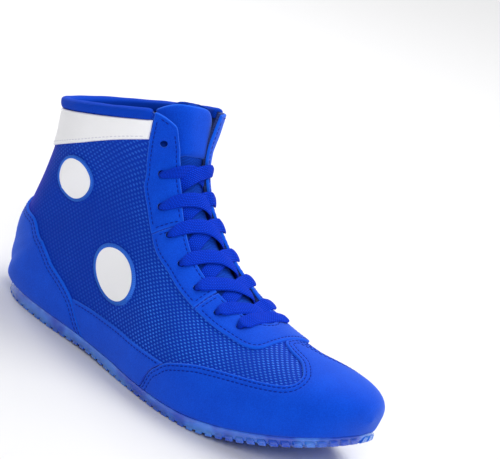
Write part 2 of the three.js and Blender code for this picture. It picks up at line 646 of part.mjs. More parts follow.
// Outsole: a web under the feather line, with lugs round its edge, bars across and two round pads
const ARC_STEP = 0.05;
function outsole() {
  const web = layer(
    SOLE_MARGIN,
    (p) => p.z - PLY_GAP,
    (p) => treadHeight(p.x) + LUG_DEPTH,
  );
  const blocks = [];
  const slant = 0.45;
  const block = (corners) => {
    const low = corners.map((p) => new THREE.Vector3(p.x, p.y, treadHeight(p.x)));
    const high = low.map((p) => new THREE.Vector3(p.x, p.y, p.z + LUG_DEPTH + 1));
    return shell(low, high, [[0, 1, 2], [0, 2, 3]]);
  };
  for (const side of [0, 1]) {
    let travelled = LUG_PITCH / 2;
    let before = featherPair(0, SOLE_MARGIN)[side];
    for (let row = ARC_STEP; row < HEEL_ROW; row += ARC_STEP) {
      const here = featherPair(row, SOLE_MARGIN)[side];
      const along = here.clone().sub(before).setZ(0);
      travelled += along.length();
      before = here;
      if (travelled < LUG_PITCH) continue;
      travelled -= LUG_PITCH;
      along.normalize();
      const inward = new THREE.Vector3(along.y, -along.x, 0).multiplyScalar(side ? -1 : 1);
      inward.addScaledVector(along, slant).normalize();
      const outer = [-0.5, 0.5].map((share) => here.clone().addScaledVector(along, share * LUG_WIDTH));
      const inner = outer.map((p) => p.clone().addScaledVector(inward, LUG_LENGTH));
      blocks.push(block([outer[0], outer[1], inner[1], inner[0]]));
    }
  }
  const pad = (x, y, radius) => {
    const disc = new THREE.CylinderGeometry(radius, radius, LUG_DEPTH + 1, 24);
    disc.rotateX(Math.PI / 2);
    disc.translate(x, y, (LUG_DEPTH + 1) / 2);
    return solidOf(disc);
  };
  blocks.push(pad(PIVOT_ALONG * LAST_LENGTH, PIVOT_CENTRE * BALL_WIDTH, PIVOT_RADIUS));
  blocks.push(pad(HEEL_PAD_ALONG * LAST_LENGTH, 0, HEEL_PAD_RADIUS));
  for (const [along, centre, span] of TREAD_BARS) {
    const x = along * LAST_LENGTH;
    const middle = centre * BALL_WIDTH;
    const reach = (span * BALL_WIDTH) / 2;
    blocks.push(
      block([
        new THREE.Vector3(x - LUG_WIDTH / 2, middle - reach, 0),
        new THREE.Vector3(x + LUG_WIDTH / 2, middle - reach, 0),
        new THREE.Vector3(x + LUG_WIDTH / 2, middle + reach, 0),
        new THREE.Vector3(x - LUG_WIDTH / 2, middle + reach, 0),
      ]),
    );
  }
  return blocks.reduce((sole, piece) => sole.add(piece), web);
}
const PIVOT_ALONG = 0.615;
const PIVOT_CENTRE = -0.02;
const HEEL_PAD_ALONG = 0.15;
const TREAD_BARS = [
  // along, centre, span
  [0.27, 0, 0.2], [0.32, -0.03, 0.2], [0.37, -0.03, 0.2], [0.42, -0.04, 0.22], [0.47, -0.04, 0.26],
  [0.74, 0.03, 0.46], [0.79, 0.04, 0.4], [0.84, 0.05, 0.34], [0.89, 0.07, 0.24],
];

// Insole: a flat sheet on the outsole, inside the wall of the upper
const INSOLE_CLEARANCE = 1.2;
function insole() {
  return layer(
    -WALL - INSOLE_CLEARANCE,
    (p) => p.z + INSOLE_THICKNESS,
    (p) => p.z,
  );
}

// Lace: a flat band that zigzags from eyelet to eyelet and bars the lowest pair, all joined
const LACE_LOW = SUEDE_HIGH + LACE_CLEARANCE;
const LACE_STEPS = 4;
function laceRun(from, to, lift) {
  const rings = [];
  const at = (t, height) =>
    offLast(between(from[0], to[0], t), between(from[1], to[1], t), height);
  for (let i = 0; i <= LACE_STEPS; i += 1) {
    const t = i / LACE_STEPS;
    const place = [between(from[0], to[0], t), between(from[1], to[1], t)];
    const height = LACE_LOW + LACE_THICKNESS / 2 + lift * Math.sin(Math.PI * t) ** 2;
    const up = lastNormal(...place);
    const along = at(t + NORMAL_STEP, height).sub(at(t - NORMAL_STEP, height)).normalize();
    const across = along.cross(up).normalize();
    const middle = at(t, height);
    rings.push(
      LACE_SECTION.map(([a, b]) =>
        middle
          .clone()
          .addScaledVector(across, a * LACE_WIDTH)
          .addScaledVector(up, b * LACE_THICKNESS),
      ),
    );
  }
  return swept(rings);
}
const LACE_SECTION = [[-0.5, -0.4], [0.5, -0.4], [0.42, 0.5], [-0.42, 0.5]];
function lace() {
  const laced = EYELETS.slice(FIRST_LACED);
  const runs = [laceRun(laced.at(-1), mirrored(laced).at(-1), 0)];
  for (let i = 0; i + 1 < laced.length; i += 1) {
    const [here, next] = [laced[i], laced[i + 1]];
    const [hereAcross, nextAcross] = mirrored([here, next]);
    runs.push(laceRun(here, nextAcross, LACE_THICKNESS / 2), laceRun(hereAcross, next, 0));
  }
  const joined = runs.reduce((rest, run) => rest.add(run));
  return joined.decompose().find((piece) => piece.volume() > 0); // pockets between runs are filled
}

// A badge: an ellipse laid on the mesh of the lateral side
const BADGE_SECTORS = 16;
function badge(place, length, width, tilt) {
  const cut = pattern(BADGE_SECTORS, 1, (s, t) => {
    const angle = s * 2 * Math.PI;
    const right = (Math.cos(angle) * length * t) / 2;
    const up = (Math.sin(angle) * width * t) / 2;
    return nudged(
      place,
      right * Math.cos(tilt) - up * Math.sin(tilt),
      right * Math.sin(tilt) + up * Math.cos(tilt),
    );
  });
  return ply(cut, PLY_GAP, PLY_GAP + BADGE);
}

// Materials
const finish = (color, roughness) =>
  new THREE.MeshStandardMaterial({ color, roughness, metalness: 0 });
const MESH_CLOTH = finish(0x0b3fb4, 0.8);
const SUEDE_FINISH = finish(0x1a50dc, 0.9);
const WHITE_FINISH = finish(0xeeeef5, 0.6);
const BINDING_FINISH = finish(0x1548cf, 0.85);
const RUBBER_FINISH = finish(0x1c57d8, 0.5);
const LACE_FINISH = finish(0x0834d2, 0.8);
const LINING_FINISH = finish(0xc9ccd8, 0.9);

const SLIVER = 0.01; // the surfaces are tidied within this
const shoe = new THREE.Group();
function add(name, made, material) {
  const { numProp, vertProperties, triVerts } = made.simplify(SLIVER).getMesh();
  const geometry = new THREE.BufferGeometry();
  if (numProp !== 3) throw new Error(`${name} has more than places in its vertices`);
  geometry.setAttribute("position", new THREE.BufferAttribute(vertProperties, 3));
  geometry.setIndex(new THREE.BufferAttribute(triVerts, 1));
  geometry.computeVertexNormals();
  const mesh = new THREE.Mesh(geometry, material);
  mesh.name = name;
  shoe.add(mesh);
}

add("outsole", outsole(), RUBBER_FINISH);
add("insole", insole(), LINING_FINISH);
add("upper", upper(), MESH_CLOTH);
add("tongue", tongue(), SUEDE_FINISH);
add("toe_cap", toeCap(), SUEDE_FINISH);
add(
  "heel_counter",
  ply(roundHeel(COUNTER_FEATHER, COUNTER_SEAM, 18, 3), SUEDE_LOW, SUEDE_HIGH),
  SUEDE_FINISH,
);
const flip = { lateral: (seam) => seam, medial: mirrored };
for (const [side, turn] of Object.entries(flip)) {
  const eyelets = turn(EYELETS);
  const strip = pattern(6, 4, (s, t) =>
    seamAt(STRIP_SEAMS.map((seam) => seamAt(turn(seam), t)), s),
  );
  add(`side_strip_${side}`, ply(strip, SUEDE_LOW, SUEDE_HIGH), SUEDE_FINISH);
  const throat = side === "medial" ? MEDIAL_THROAT_SEAM : EYESTAY_THROAT_SEAM;
  const top = ruled(turn(EYESTAY_REAR_SEAM), throat, 9, 1);
  add(
    `eyestay_top_${side}`,
    punched(ply(top, SUEDE_LOW, SUEDE_HIGH), eyelets.slice(0, 3)),
    SUEDE_FINISH,
  );
  const middle = ruled(turn(MIDDLE_REAR_SEAM), turn(MIDDLE_THROAT_SEAM), 5, 1);
  add(
    `eyestay_middle_${side}`,
    punched(ply(middle, SUEDE_LOW, SUEDE_HIGH), eyelets.slice(3, 6)),
    SUEDE_FINISH,
  );
}
add(
  "eyestay_front",
  punched(
    ply(
      ruled(bothSides(FRONT_OUTER_SEAM), bothSides(FRONT_THROAT_SEAM), 14, 2),
      SUEDE_LOW,
      SUEDE_HIGH,
    ),
    [...EYELETS.slice(6), ...medialEyelets.slice(6)],
  ),
  SUEDE_FINISH,
);
add("collar_band", collarBand(), WHITE_FINISH);
add("collar_binding", collarBinding(), BINDING_FINISH);
add("lace", lace(), LACE_FINISH);
add(
  "badge_round",
  badge(ROUND_BADGE_PLACE, 2 * ROUND_BADGE_RADIUS, 2 * ROUND_BADGE_RADIUS, 0),
  WHITE_FINISH,
);
add(
  "badge_oval",
  badge(OVAL_BADGE_PLACE, OVAL_BADGE_LENGTH, OVAL_BADGE_WIDTH, OVAL_BADGE_TILT),
  WHITE_FINISH,
);

// The origin goes to the middle of the box, on the floor.
const box = new THREE.Box3().setFromObject(shoe, true);
const middle = box.getCenter(new THREE.Vector3());
shoe.position.set(-middle.x, -middle.y, -box.min.z);

export default shoe;
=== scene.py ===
"""Looks for a right wrestling shoe: a mesh and suede high-top on a thin lugged sole.

Lengths in the classes are millimetres in the last's own frame: the heel's back at x = 0, the toe
towards +x, the medial side towards +y and the floor at z = 0. Frame turns them into metres in the
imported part's frame. A place on the last is a (row, around) pair, as Last.points says.
"""

from __future__ import annotations

import json
import logging
from collections.abc import Sequence
from dataclasses import dataclass, field
from enum import Enum
from functools import cached_property

import bmesh
import bpy
import numpy as np
from mathutils import Matrix, Vector

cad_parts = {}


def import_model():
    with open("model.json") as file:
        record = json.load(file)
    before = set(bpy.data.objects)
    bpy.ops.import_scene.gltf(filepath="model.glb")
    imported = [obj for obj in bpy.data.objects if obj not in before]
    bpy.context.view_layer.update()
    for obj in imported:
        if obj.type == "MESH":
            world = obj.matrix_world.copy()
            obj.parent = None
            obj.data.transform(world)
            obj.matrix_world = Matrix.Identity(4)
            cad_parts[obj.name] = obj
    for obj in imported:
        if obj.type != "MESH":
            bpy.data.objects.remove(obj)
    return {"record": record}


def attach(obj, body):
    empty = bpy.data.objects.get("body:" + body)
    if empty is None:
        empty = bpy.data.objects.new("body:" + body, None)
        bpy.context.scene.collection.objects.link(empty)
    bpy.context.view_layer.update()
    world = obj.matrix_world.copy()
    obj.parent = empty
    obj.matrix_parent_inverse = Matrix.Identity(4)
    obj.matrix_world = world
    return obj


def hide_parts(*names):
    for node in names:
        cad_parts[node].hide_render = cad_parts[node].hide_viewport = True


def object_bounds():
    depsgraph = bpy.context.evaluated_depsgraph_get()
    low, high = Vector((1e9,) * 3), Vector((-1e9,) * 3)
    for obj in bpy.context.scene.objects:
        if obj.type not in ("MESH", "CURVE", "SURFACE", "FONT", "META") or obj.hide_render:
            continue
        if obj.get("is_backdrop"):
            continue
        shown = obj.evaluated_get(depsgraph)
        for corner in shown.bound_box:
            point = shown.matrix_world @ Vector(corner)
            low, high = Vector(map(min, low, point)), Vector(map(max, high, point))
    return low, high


log = logging.getLogger("wrestling_shoe")

MM = 0.001
PLACE_STEP = 0.02
FAR = 1e9
TINY = 1e-12
HEEL_MOUNT_SHARE = 0.15

Array = np.ndarray
Triple = tuple[float, float, float]
Color = Triple
Place = tuple[float, float]
Places = Sequence[Place]


class Side(Enum):
    """Which side of the foot a piece is on."""

    LATERAL = -1
    MEDIAL = 1


class Skin(Enum):
    """Which material of a piece a face takes."""

    OUTSIDE = 0
    INSIDE = 1


# Sections of the last, from the toe to the collar, as shares of the sizes in Last
TOE_ROWS = (
    # bottom, spring, top, depth, centre, edge_lateral, edge_medial, wide_lateral, wide_medial,
    # girdle, crown, flank
    (0.986, 1.0, 1.0, 0.22, 0.085, 0, 0, 0, 0, 0.45, 2.0, 2.0),
    (0.979, 0.97, 0.993, 0.39, 0.085, 0.128, 0.128, 0.138, 0.138, 0.42, 2.2, 2.0),
    (0.958, 0.86, 0.968, 0.543, 0.08, 0.234, 0.223, 0.255, 0.245, 0.38, 2.2, 2.0),
    (0.919, 0.678, 0.926, 0.69, 0.075, 0.33, 0.303, 0.351, 0.33, 0.33, 2.2, 2.0),
    (0.859, 0.435, 0.862, 0.846, 0.064, 0.415, 0.367, 0.436, 0.394, 0.3, 2.1, 2.0),
    (0.784, 0.196, 0.781, 1.0, 0.048, 0.479, 0.415, 0.495, 0.447, 0.27, 2.0, 2.0),
)
INSTEP_ROWS = (
    # bottom, spring, top, rise, centre, the rest as above
    (0.707, 0.043, 0.7, 0.06, 0.032, 0.511, 0.436, 0.527, 0.473, 0.25, 1.9, 2.0),
    (0.625, 0, 0.618, 0.18, 0.021, 0.511, 0.404, 0.527, 0.457, 0.24, 1.85, 2.0),
    (0.53, 0, 0.539, 0.376, 0.011, 0.468, 0.33, 0.489, 0.404, 0.24, 1.85, 2.0),
)
WAIST_ROWS = (
    # bottom, lift, top, rise, centre, the rest as above
    (0.431, 0.67, 0.481, 0.594, 0.007, 0.574, 0.397, 0.603, 0.515, 0.24, 1.95, 2.0),
    (0.325, 1.0, 0.451, 0.737, 0, 0.515, 0.412, 0.544, 0.5, 0.24, 2.05, 2.0),
    (0.212, 1.0, 0.435, 0.85, 0, 0.485, 0.434, 0.522, 0.5, 0.25, 2.2, 2.05),
    (0.113, 1.0, 0.425, 0.932, 0, 0.412, 0.397, 0.507, 0.493, 0.27, 2.35, 2.15),
    (0.05, 1.33, 0.419, 1.0, 0, 0.25, 0.25, 0.493, 0.485, 0.3, 2.4, 2.25),
)
SHAFT_ROWS = (
    # back, back_rise, front, front_rise, edge, wide_lateral, wide_medial, girdle, crown, flank
    (0.023, 0.03, 0.416, 0.127, 0, 0.445, 0.438, 0.33, 2.45, 2.3),
    (0.009, 0.112, 0.413, 0.238, -0.233, 0.432, 0.432, 0.36, 2.5, 2.3),
    (0.007, 0.226, 0.411, 0.365, -0.356, 0.432, 0.432, 0.38, 2.5, 2.25),
    (0.021, 0.388, 0.409, 0.492, -0.452, 0.452, 0.452, 0.4, 2.5, 2.15),
    (0.039, 0.584, 0.407, 0.635, -0.479, 0.473, 0.473, 0.43, 2.5, 2.1),
    (0.048, 0.797, 0.406, 0.81, -0.479, 0.486, 0.486, 0.46, 2.45, 2.05),
    (0.041, 1.0, 0.406, 1.0, -0.479, 0.5, 0.5, 0.48, 2.4, 2.0),
)
HEEL_ROW = 14
COLLAR_ROW = 20

# Seams, as (row, around) places on the last, lateral side
EYESTAY_REAR = (
    (20.0, -0.285), (18.95, -0.294), (17.65, -0.306), (16.15, -0.312), (14.35, -0.312),
    (11.65, -0.344), (10.5, -0.369), (9.87, -0.385),
)
EYESTAY_THROAT = (
    (18.85, -0.165), (18.3, -0.155), (16.9, -0.144), (13.9, -0.131), (11.1, -0.144),
    (9.9, -0.169), (9.2, -0.187),
)
MEDIAL_THROAT = (
    (19.97, 0.095), (18.6, 0.078), (16.9, 0.064), (13.9, 0.062), (11.1, 0.105),
    (9.9, 0.152), (9.2, 0.187),
)
MIDDLE_REAR = ((9.83, -0.386), (9.05, -0.4), (8.35, -0.378), (7.8, -0.369), (7.24, -0.352))
MIDDLE_THROAT = ((9.16, -0.188), (8.5, -0.206), (8.25, -0.207), (7.75, -0.2), (7.2, -0.18))
FRONT_OUTER = (
    (7.2, -0.35), (6.6, -0.331), (6.05, -0.308), (5.5, -0.281), (5.25, -0.225), (5.2, -0.112),
    (5.2, 0.0),
)
FRONT_THROAT = (
    (7.16, -0.178), (6.9, -0.166), (6.6, -0.15), (6.25, -0.122), (6.0, -0.08), (5.9, -0.04),
    (5.88, 0.0),
)
TOE_CAP_REAR = (
    (7.6, -1.0), (7.42, -0.83), (7.22, -0.756), (7.0, -0.688), (6.65, -0.631), (6.1, -0.562),
    (5.55, -0.519), (5.0, -0.487), (4.45, -0.456), (3.95, -0.412), (3.75, -0.35), (3.8, -0.262),
    (4.05, -0.188), (4.35, -0.131), (4.8, -0.094), (5.12, -0.055), (5.17, 0.0),
)
COUNTER_TOP = (
    (9.6, -1.0), (9.98, -0.9), (10.65, -0.806), (11.95, -0.744), (13.55, -0.7), (15.3, -0.7),
    (16.3, -0.76), (17.1, -0.88), (17.4, -1.0),
)
COUNTER_FEATHER = ((9.6, -1.0), (10.5, -1.0), (11.5, -1.0), (12.6, -1.0), (13.5, -1.0), (14.0, -1.0))
STRIP_SEAMS = (
    ((9.56, -1.0), (9.94, -0.9), (10.5, -0.812)),
    ((8.75, -1.0), (8.75, -0.9), (8.75, -0.774)),
    ((7.64, -1.0), (7.46, -0.83), (7.08, -0.7)),
)
BAND_LOWER = ((18.1, -0.322), (18.42, -0.45), (18.6, -0.6), (18.7, -0.78), (18.75, -1.0))
BINDING_RIM = ((20.0, -0.3), (20.0, -0.5), (20.0, -0.75), (20.0, -1.0))
TONGUE_EDGE = (
    (20.5, -0.05), (20.45, -0.13), (20.3, -0.2), (19.95, -0.25), (18.9, -0.275), (16.5, -0.262),
    (13.0, -0.262), (10.2, -0.275), (8.6, -0.285), (7.2, -0.26), (6.2, -0.22), (5.4, -0.17),
    (4.95, -0.12),
)
TONGUE_PANEL_LOW = ((15.0, -0.3), (14.9, -0.106), (14.5, 0.0), (14.2, 0.131), (14.1, 0.3))
EYELETS = (
    (17.4, -0.231), (13.55, -0.237), (10.7, -0.287), (9.25, -0.294), (8.3, -0.29), (7.55, -0.275),
    (6.75, -0.258), (6.1, -0.212),
)
FIRST_LACED = 1
EYELET_RADIUS = 2.2
BADGES = (
    # name, place, size, tilt
    ("badge_round", (16.9, -0.597), (28.0, 28.0), 0.0),
    ("badge_oval", (9.9, -0.625), (42.0, 29.0), -0.42),
)

# The tread, as shares of the last's length and ball width
TREAD_BARS = (
    # along, centre, span
    (0.27, 0, 0.2), (0.32, -0.03, 0.2), (0.37, -0.03, 0.2), (0.42, -0.04, 0.22),
    (0.47, -0.04, 0.26), (0.74, 0.03, 0.46), (0.79, 0.04, 0.4), (0.84, 0.05, 0.34),
    (0.89, 0.07, 0.24),
)
TREAD_PADS = (
    # along, centre, radius in millimetres
    (0.615, -0.02, 21.0),
    (0.15, 0.0, 15.0),
)

# The wall's rows, closer together round the throat's front end
WALL_BANDS = (
    # first row, last row, count
    (0, 1, 26), (1, 5.8, 52), (5.8, 6.3, 14), (6.3, COLLAR_ROW, 120),
)

# Lights, in metres and watts
LIGHTS = (
    # name, place, size, power, aim
    ("overhead", (0.3, 0.5, 1.3), (1.0, 0.8), 12.0, (0.0, 0.0, 0.06)),
    ("key", (1.1, -1.0, 1.1), (0.7, 0.7), 13.0, (0.0, 0.0, 0.06)),
    ("rim", (-1.2, 0.3, 0.7), (0.4, 0.8), 6.0, (0.0, 0.0, 0.06)),
    ("backdrop", (-0.9, 1.9, 1.9), (2.0, 2.0), 26.0, (-0.9, 1.9, 0.0)),
)

# Heights over the last
WALL = 2.0
SUEDE_HIGH = 1.75
BAND_HIGH = 1.55
BADGE_HIGH = 1.35


def mirrored(places: Places) -> Places:
    """The same seam on the other side of the shoe.

    Args:
        places: A seam.

    Returns:
        The mirrored seam.
    """
    return tuple((row, -around) for row, around in places)


def both_sides(places: Places) -> Places:
    """A seam from the lateral side to the centre, carried on over the medial side.

    Args:
        places: Its lateral half, which ends at the centre.

    Returns:
        The whole seam.
    """
    return (*places, *tuple(reversed(mirrored(places)))[1:])


def round_heel(places: Places) -> Places:
    """A seam from the lateral side to the heel's centre, carried on round to the medial side.

    Args:
        places: Its lateral half, which ends at the heel's centre.

    Returns:
        The whole seam.
    """
    return (*places, *((row, -2 - around) for row, around in reversed(places[:-1])))


def throat_at(rows: Array | float, side: Side) -> Array:
    """How far round the eyestay's throat edge lies at each row.

    Args:
        rows: Row numbers.
        side: Which edge is wanted.

    Returns:
        The edge's around at each row.
    """
    upper = EYESTAY_THROAT if side is Side.LATERAL else mirrored(MEDIAL_THROAT)
    seam = np.array([*upper, *MIDDLE_THROAT, *FRONT_THROAT])[::-1]
    return side.value * np.interp(rows, seam[:, 0], -seam[:, 1])


def unit(vectors: Array) -> Array:
    """The vectors at length one.

    Args:
        vectors: Vectors, (..., 3).

    Returns:
        Unit vectors.
    """
    return vectors / np.maximum(np.linalg.norm(vectors, axis=-1, keepdims=True), TINY)


def smooth_step(values: Array, low: float, high: float) -> Array:
    """0 below low, 1 above high, and 3t^2 - 2t^3 between them.

    Args:
        values: What to step over.
        low: Where the step starts.
        high: Where it ends.

    Returns:
        Shares from 0 to 1.
    """
    t = np.clip((values - low) / (high - low), 0, 1)
    return t * t * (3 - 2 * t)


def quarter_round(gap: Array, radius: float) -> Array:
    """0 at an edge and 1 a radius away from it, along a quarter circle.

    Args:
        gap: Distances from the edge.
        radius: How far in the round ends.

    Returns:
        Shares from 0 to 1.
    """
    return np.sqrt(1 - (1 - np.clip(gap / radius, 0, 1)) ** 2)


def cubic(a: Array, b: Array, c: Array, d: Array, t: Array) -> Array:
    """The Catmull-Rom cubic from b to c, whose slopes are half the neighbours' steps.

    Args:
        a: The knot before b.
        b: Where the cubic starts.
        c: Where it ends.
        d: The knot after c.
        t: Shares of the way from b to c.

    Returns:
        The points at those shares.
    """
    steep = 2 * a - 5 * b + 4 * c - d
    return 0.5 * (2 * b + (c - a) * t + steep * t**2 + (3 * b - a - 3 * c + d) * t**3)


def catmull(knots: Array, share: Array) -> Array:
    """A Catmull-Rom curve: between knots a cubic whose slope is half the neighbours' step.

    Args:
        knots: Points to pass through, (k, n), or whole lines of them.
        share: Places along the curve from 0 to 1.

    Returns:
        Points, one for each share.
    """
    knots = np.asarray(knots, float)
    ghost = np.concatenate([2 * knots[:1] - knots[1:2], knots, 2 * knots[-1:] - knots[-2:-1]])
    place = np.clip(share, 0, 1) * (len(knots) - 1)
    first = np.minimum(place.astype(int), len(knots) - 2)
    t = (place - first).reshape(place.shape + (1,) * (knots.ndim - 1))
    a, b, c, d = (ghost[first + k] for k in range(4))
    return cubic(a, b, c, d, t)


def run_lengths(points: Array, axis: int = 0) -> Array:
    """How far along an axis each point lies from the first one.

    Args:
        points: Lines of points.
        axis: The axis that runs along a line.

    Returns:
        Lengths along each line.
    """
    steps = np.linalg.norm(np.diff(points, axis=axis), axis=-1)
    start = np.zeros_like(np.take(steps, [0], axis=axis))
    return np.concatenate([start, np.cumsum(steps, axis=axis)], axis=axis)


def table_at(wanted: Array, stations: Array, table: Array) -> Array:
    """A table's columns, each read off at the wanted stations.

    Args:
        wanted: Stations to read at.
        stations: Where the table's rows lie.
        table: The rows.

    Returns:
        The values, with the columns as the last axis.
    """
    return np.stack([np.interp(wanted, stations, column) for column in table.T], axis=-1)


def resampled(points: Array, count: int) -> Array:
    """A polyline cut into equal lengths.

    Args:
        points: The polyline.
        count: How many points to make.

    Returns:
        Evenly spaced points.
    """
    length = run_lengths(points)
    return table_at(np.linspace(0, length[-1], count), length, points)


def gap_to_line(points: Array, line: Array) -> Array:
    """The distance from each point to a polyline, whose segments are tried one after another.

    Args:
        points: Points, (..., 3).
        line: The polyline.

    Returns:
        Distances, in millimetres.
    """
    flat = points.reshape(-1, 3)
    least = np.full(len(flat), FAR)
    for start, end in zip(line[:-1], line[1:]):
        along = end - start
        share = np.clip((flat - start) @ along / max(along @ along, TINY), 0, 1)
        least = np.minimum(least, ((flat - start - share[:, None] * along) ** 2).sum(1))
    return np.sqrt(least).reshape(points.shape[:-1])


def crowded(length: float, near: Sequence[float], middle: int) -> Array:
    """Stations from 0 to length: near's distances from both ends and even steps between them.

    Args:
        length: Where the last station lies.
        near: Distances from either end.
        middle: How many even stations lie between.

    Returns:
        The stations, in order.
    """
    steps = np.asarray(near) * min(1.0, length / (2.6 * near[-1]))
    inner = np.linspace(steps[-1], length - steps[-1], middle)
    return np.concatenate([steps[:-1], inner, (length - steps[:-1])[::-1]])


@dataclass(frozen=True)
class Crease:
    """A soft trough (or, with a negative depth, a ridge) along a line of places on the last."""

    line: Places
    width: float
    depth: float


CREASES = (
    Crease(((11.0, -0.40), (11.8, -0.50), (12.8, -0.58)), 5.0, 0.8),
    Crease(((10.3, -0.42), (10.8, -0.53), (11.4, -0.60)), 4.5, -0.5),
    Crease(((15.9, -1.0), (15.3, -0.86), (14.9, -0.72)), 5.0, 0.7),
    Crease(((16.7, -1.0), (16.4, -0.85), (16.2, -0.70)), 6.0, -0.6),
    Crease(((7.7, -0.42), (7.8, -0.55), (8.0, -0.66)), 5.0, 0.6),
    Crease(((7.1, -0.40), (7.2, -0.52), (7.3, -0.62)), 5.0, -0.4),
    Crease(((11.0, 0.40), (11.8, 0.50), (12.8, 0.58)), 5.0, 0.8),
    Crease(((8.4, 0.45), (8.7, 0.58), (9.2, 0.70)), 6.0, 0.7),
)


@dataclass
class Last:
    """The form that the shoe is lasted on, as a surface over a row and an around."""

    length: float = 283.0
    ball_width: float = 94.0
    heel_width: float = 68.0
    collar_width: float = 73.0
    toe_depth: float = 45.5
    ankle_height: float = 123.5
    collar_front_height: float = 155.5
    collar_back_height: float = 125.5
    toe_spring: float = 23.0
    heel_lift: float = 1.5
    sole_thickness: float = 7.0
    girdle_reach: float = 0.95
    knots: Array = field(init=False, repr=False)

    def __post_init__(self) -> None:
        """Turns the tables of shares into sections in millimetres, with one beyond each end."""
        seat = self.sole_thickness + self.heel_lift
        vamp = self.sole_thickness + TOE_ROWS[-1][1] * self.toe_spring + self.toe_depth
        table = []
        for bottom, spring, top, depth, *rest in TOE_ROWS:
            low = self.sole_thickness + spring * self.toe_spring
            ends = [bottom * self.length, low, top * self.length, low + depth * self.toe_depth]
            table.append(ends + [v * self.ball_width for v in rest[:5]] + rest[5:])
        for zone, foot, width in (
            (INSTEP_ROWS, self.toe_spring, self.ball_width),
            (WAIST_ROWS, self.heel_lift, self.heel_width),
        ):
            for bottom, lift, top, rise, *rest in zone:
                low = self.sole_thickness + lift * foot
                high = vamp + rise * (self.ankle_height - vamp)
                ends = [bottom * self.length, low, top * self.length, high]
                table.append(ends + [v * width for v in rest[:5]] + rest[5:])
        for back, back_rise, front, front_rise, edge, lateral, medial, *curve in SHAFT_ROWS:
            low = seat + back_rise * (self.collar_back_height - seat)
            high = self.ankle_height + front_rise * (self.collar_front_height - self.ankle_height)
            widths = [v * self.collar_width for v in (0, edge, edge, lateral, medial)]
            table.append([back * self.length, low, front * self.length, high] + widths + curve)
        rows = np.array(table, float)
        before = rows[1].copy()
        before[5:9] *= -1
        self.knots = np.vstack([before, rows, 2 * rows[-1] - rows[-2]])

    def points(self, rows: Array, around: Array) -> Array:
        """Points of the last.

        A section runs from a bottom point to a crown point in the x-z plane. Above the girdle it is
        a quarter of a superellipse from the crown outwards, and below it another one in to the
        feather edge. A row below 0 comes round the toe's tip, and behind the heel row an around
        over 1 comes round the back.

        Args:
            rows: Section numbers, 0 at the toe's tip and 20 at the collar.
            around: -1 at the lateral feather line, 0 on the crown, 1 at the medial feather line.

        Returns:
            Points, (..., 3).
        """
        rows, around = np.broadcast_arrays(np.asarray(rows, float), np.asarray(around, float))
        around = np.where(rows < 0, -around, around)
        rows = np.abs(rows)
        behind = rows > HEEL_ROW - 2.5 * PLACE_STEP
        wrapped = np.where(behind, around - 2 * np.sign(around), np.sign(around))
        around = np.where(np.abs(around) > 1, wrapped, around)
        first = np.clip(np.floor(rows).astype(int), 0, COLLAR_ROW - 1)
        t = (rows - first)[..., None]
        a, b, c, d = (self.knots[first + k] for k in range(4))
        columns = np.moveaxis(cubic(a, b, c, d, t), -1, 0)
        bx, bz, tx, tz, centre, edge_l, edge_m, wide_l, wide_m, girdle, crown, flank = columns
        edge = np.maximum(np.where(around < 0, edge_l, edge_m), 0)
        wide = np.where(around < 0, wide_l, wide_m)
        reach = np.abs(around)
        turn = 1 - girdle * self.girdle_reach
        high = np.clip(reach / turn, 0, 1) * np.pi / 2
        low = np.clip((reach - turn) / (1 - turn), 0, 1) * np.pi / 2
        above = reach < turn
        out = np.where(
            above,
            wide * np.sin(high) ** (2 / crown),
            edge + (wide - edge) * np.maximum(np.cos(low), 0) ** (2 / flank),
        )
        up = np.where(
            above,
            girdle + (1 - girdle) * np.maximum(np.cos(high), 0) ** (2 / crown),
            girdle * (1 - np.sin(low) ** (2 / flank)),
        )
        side = np.where(around < 0, -1.0, 1.0)
        return np.stack([bx + up * (tx - bx), centre + side * out, bz + up * (tz - bz)], axis=-1)

    def slopes(self, rows: Array, around: Array) -> tuple[Array, Array]:
        """How the last's points move for a step of row and for a step of around.

        Args:
            rows: Row numbers.
            around: How far round each point lies.

        Returns:
            Both slopes, in millimetres a step.
        """
        rows, around = np.broadcast_arrays(np.asarray(rows, float), np.asarray(around, float))
        tip = (np.abs(rows) < PLACE_STEP) & (np.abs(around) < PLACE_STEP)
        around = np.where(tip, 4 * PLACE_STEP, around)
        step = PLACE_STEP
        by_row = self.points(rows + step, around) - self.points(rows - step, around)
        by_around = self.points(rows, around + step) - self.points(rows, around - step)
        return by_row / (2 * step), by_around / (2 * step)

    def normals(self, rows: Array, around: Array) -> Array:
        """The way out of the last, never downwards.

        Args:
            rows: Row numbers.
            around: How far round each point lies.

        Returns:
            Unit normals, (..., 3).
        """
        by_row, by_around = self.slopes(rows, around)
        normal = unit(np.cross(by_around, by_row))
        normal[..., 2] = np.maximum(normal[..., 2], 0)
        return unit(normal)

    @cached_property
    def crease_lines(self) -> list[tuple[Array, Array, Crease]]:
        """Each crease's line of points and its strength along it, which fades at both ends.

        Returns:
            A line, its strength and its crease, for each crease.
        """
        share = np.linspace(0, 1, 25)
        fade = np.sin(np.pi * (share * 0.9 + 0.05)) ** 0.7
        lines = []
        for crease in CREASES:
            places = catmull(np.array(crease.line), share)
            lines.append((self.points(places[:, 0], places[:, 1]), fade, crease))
        return lines

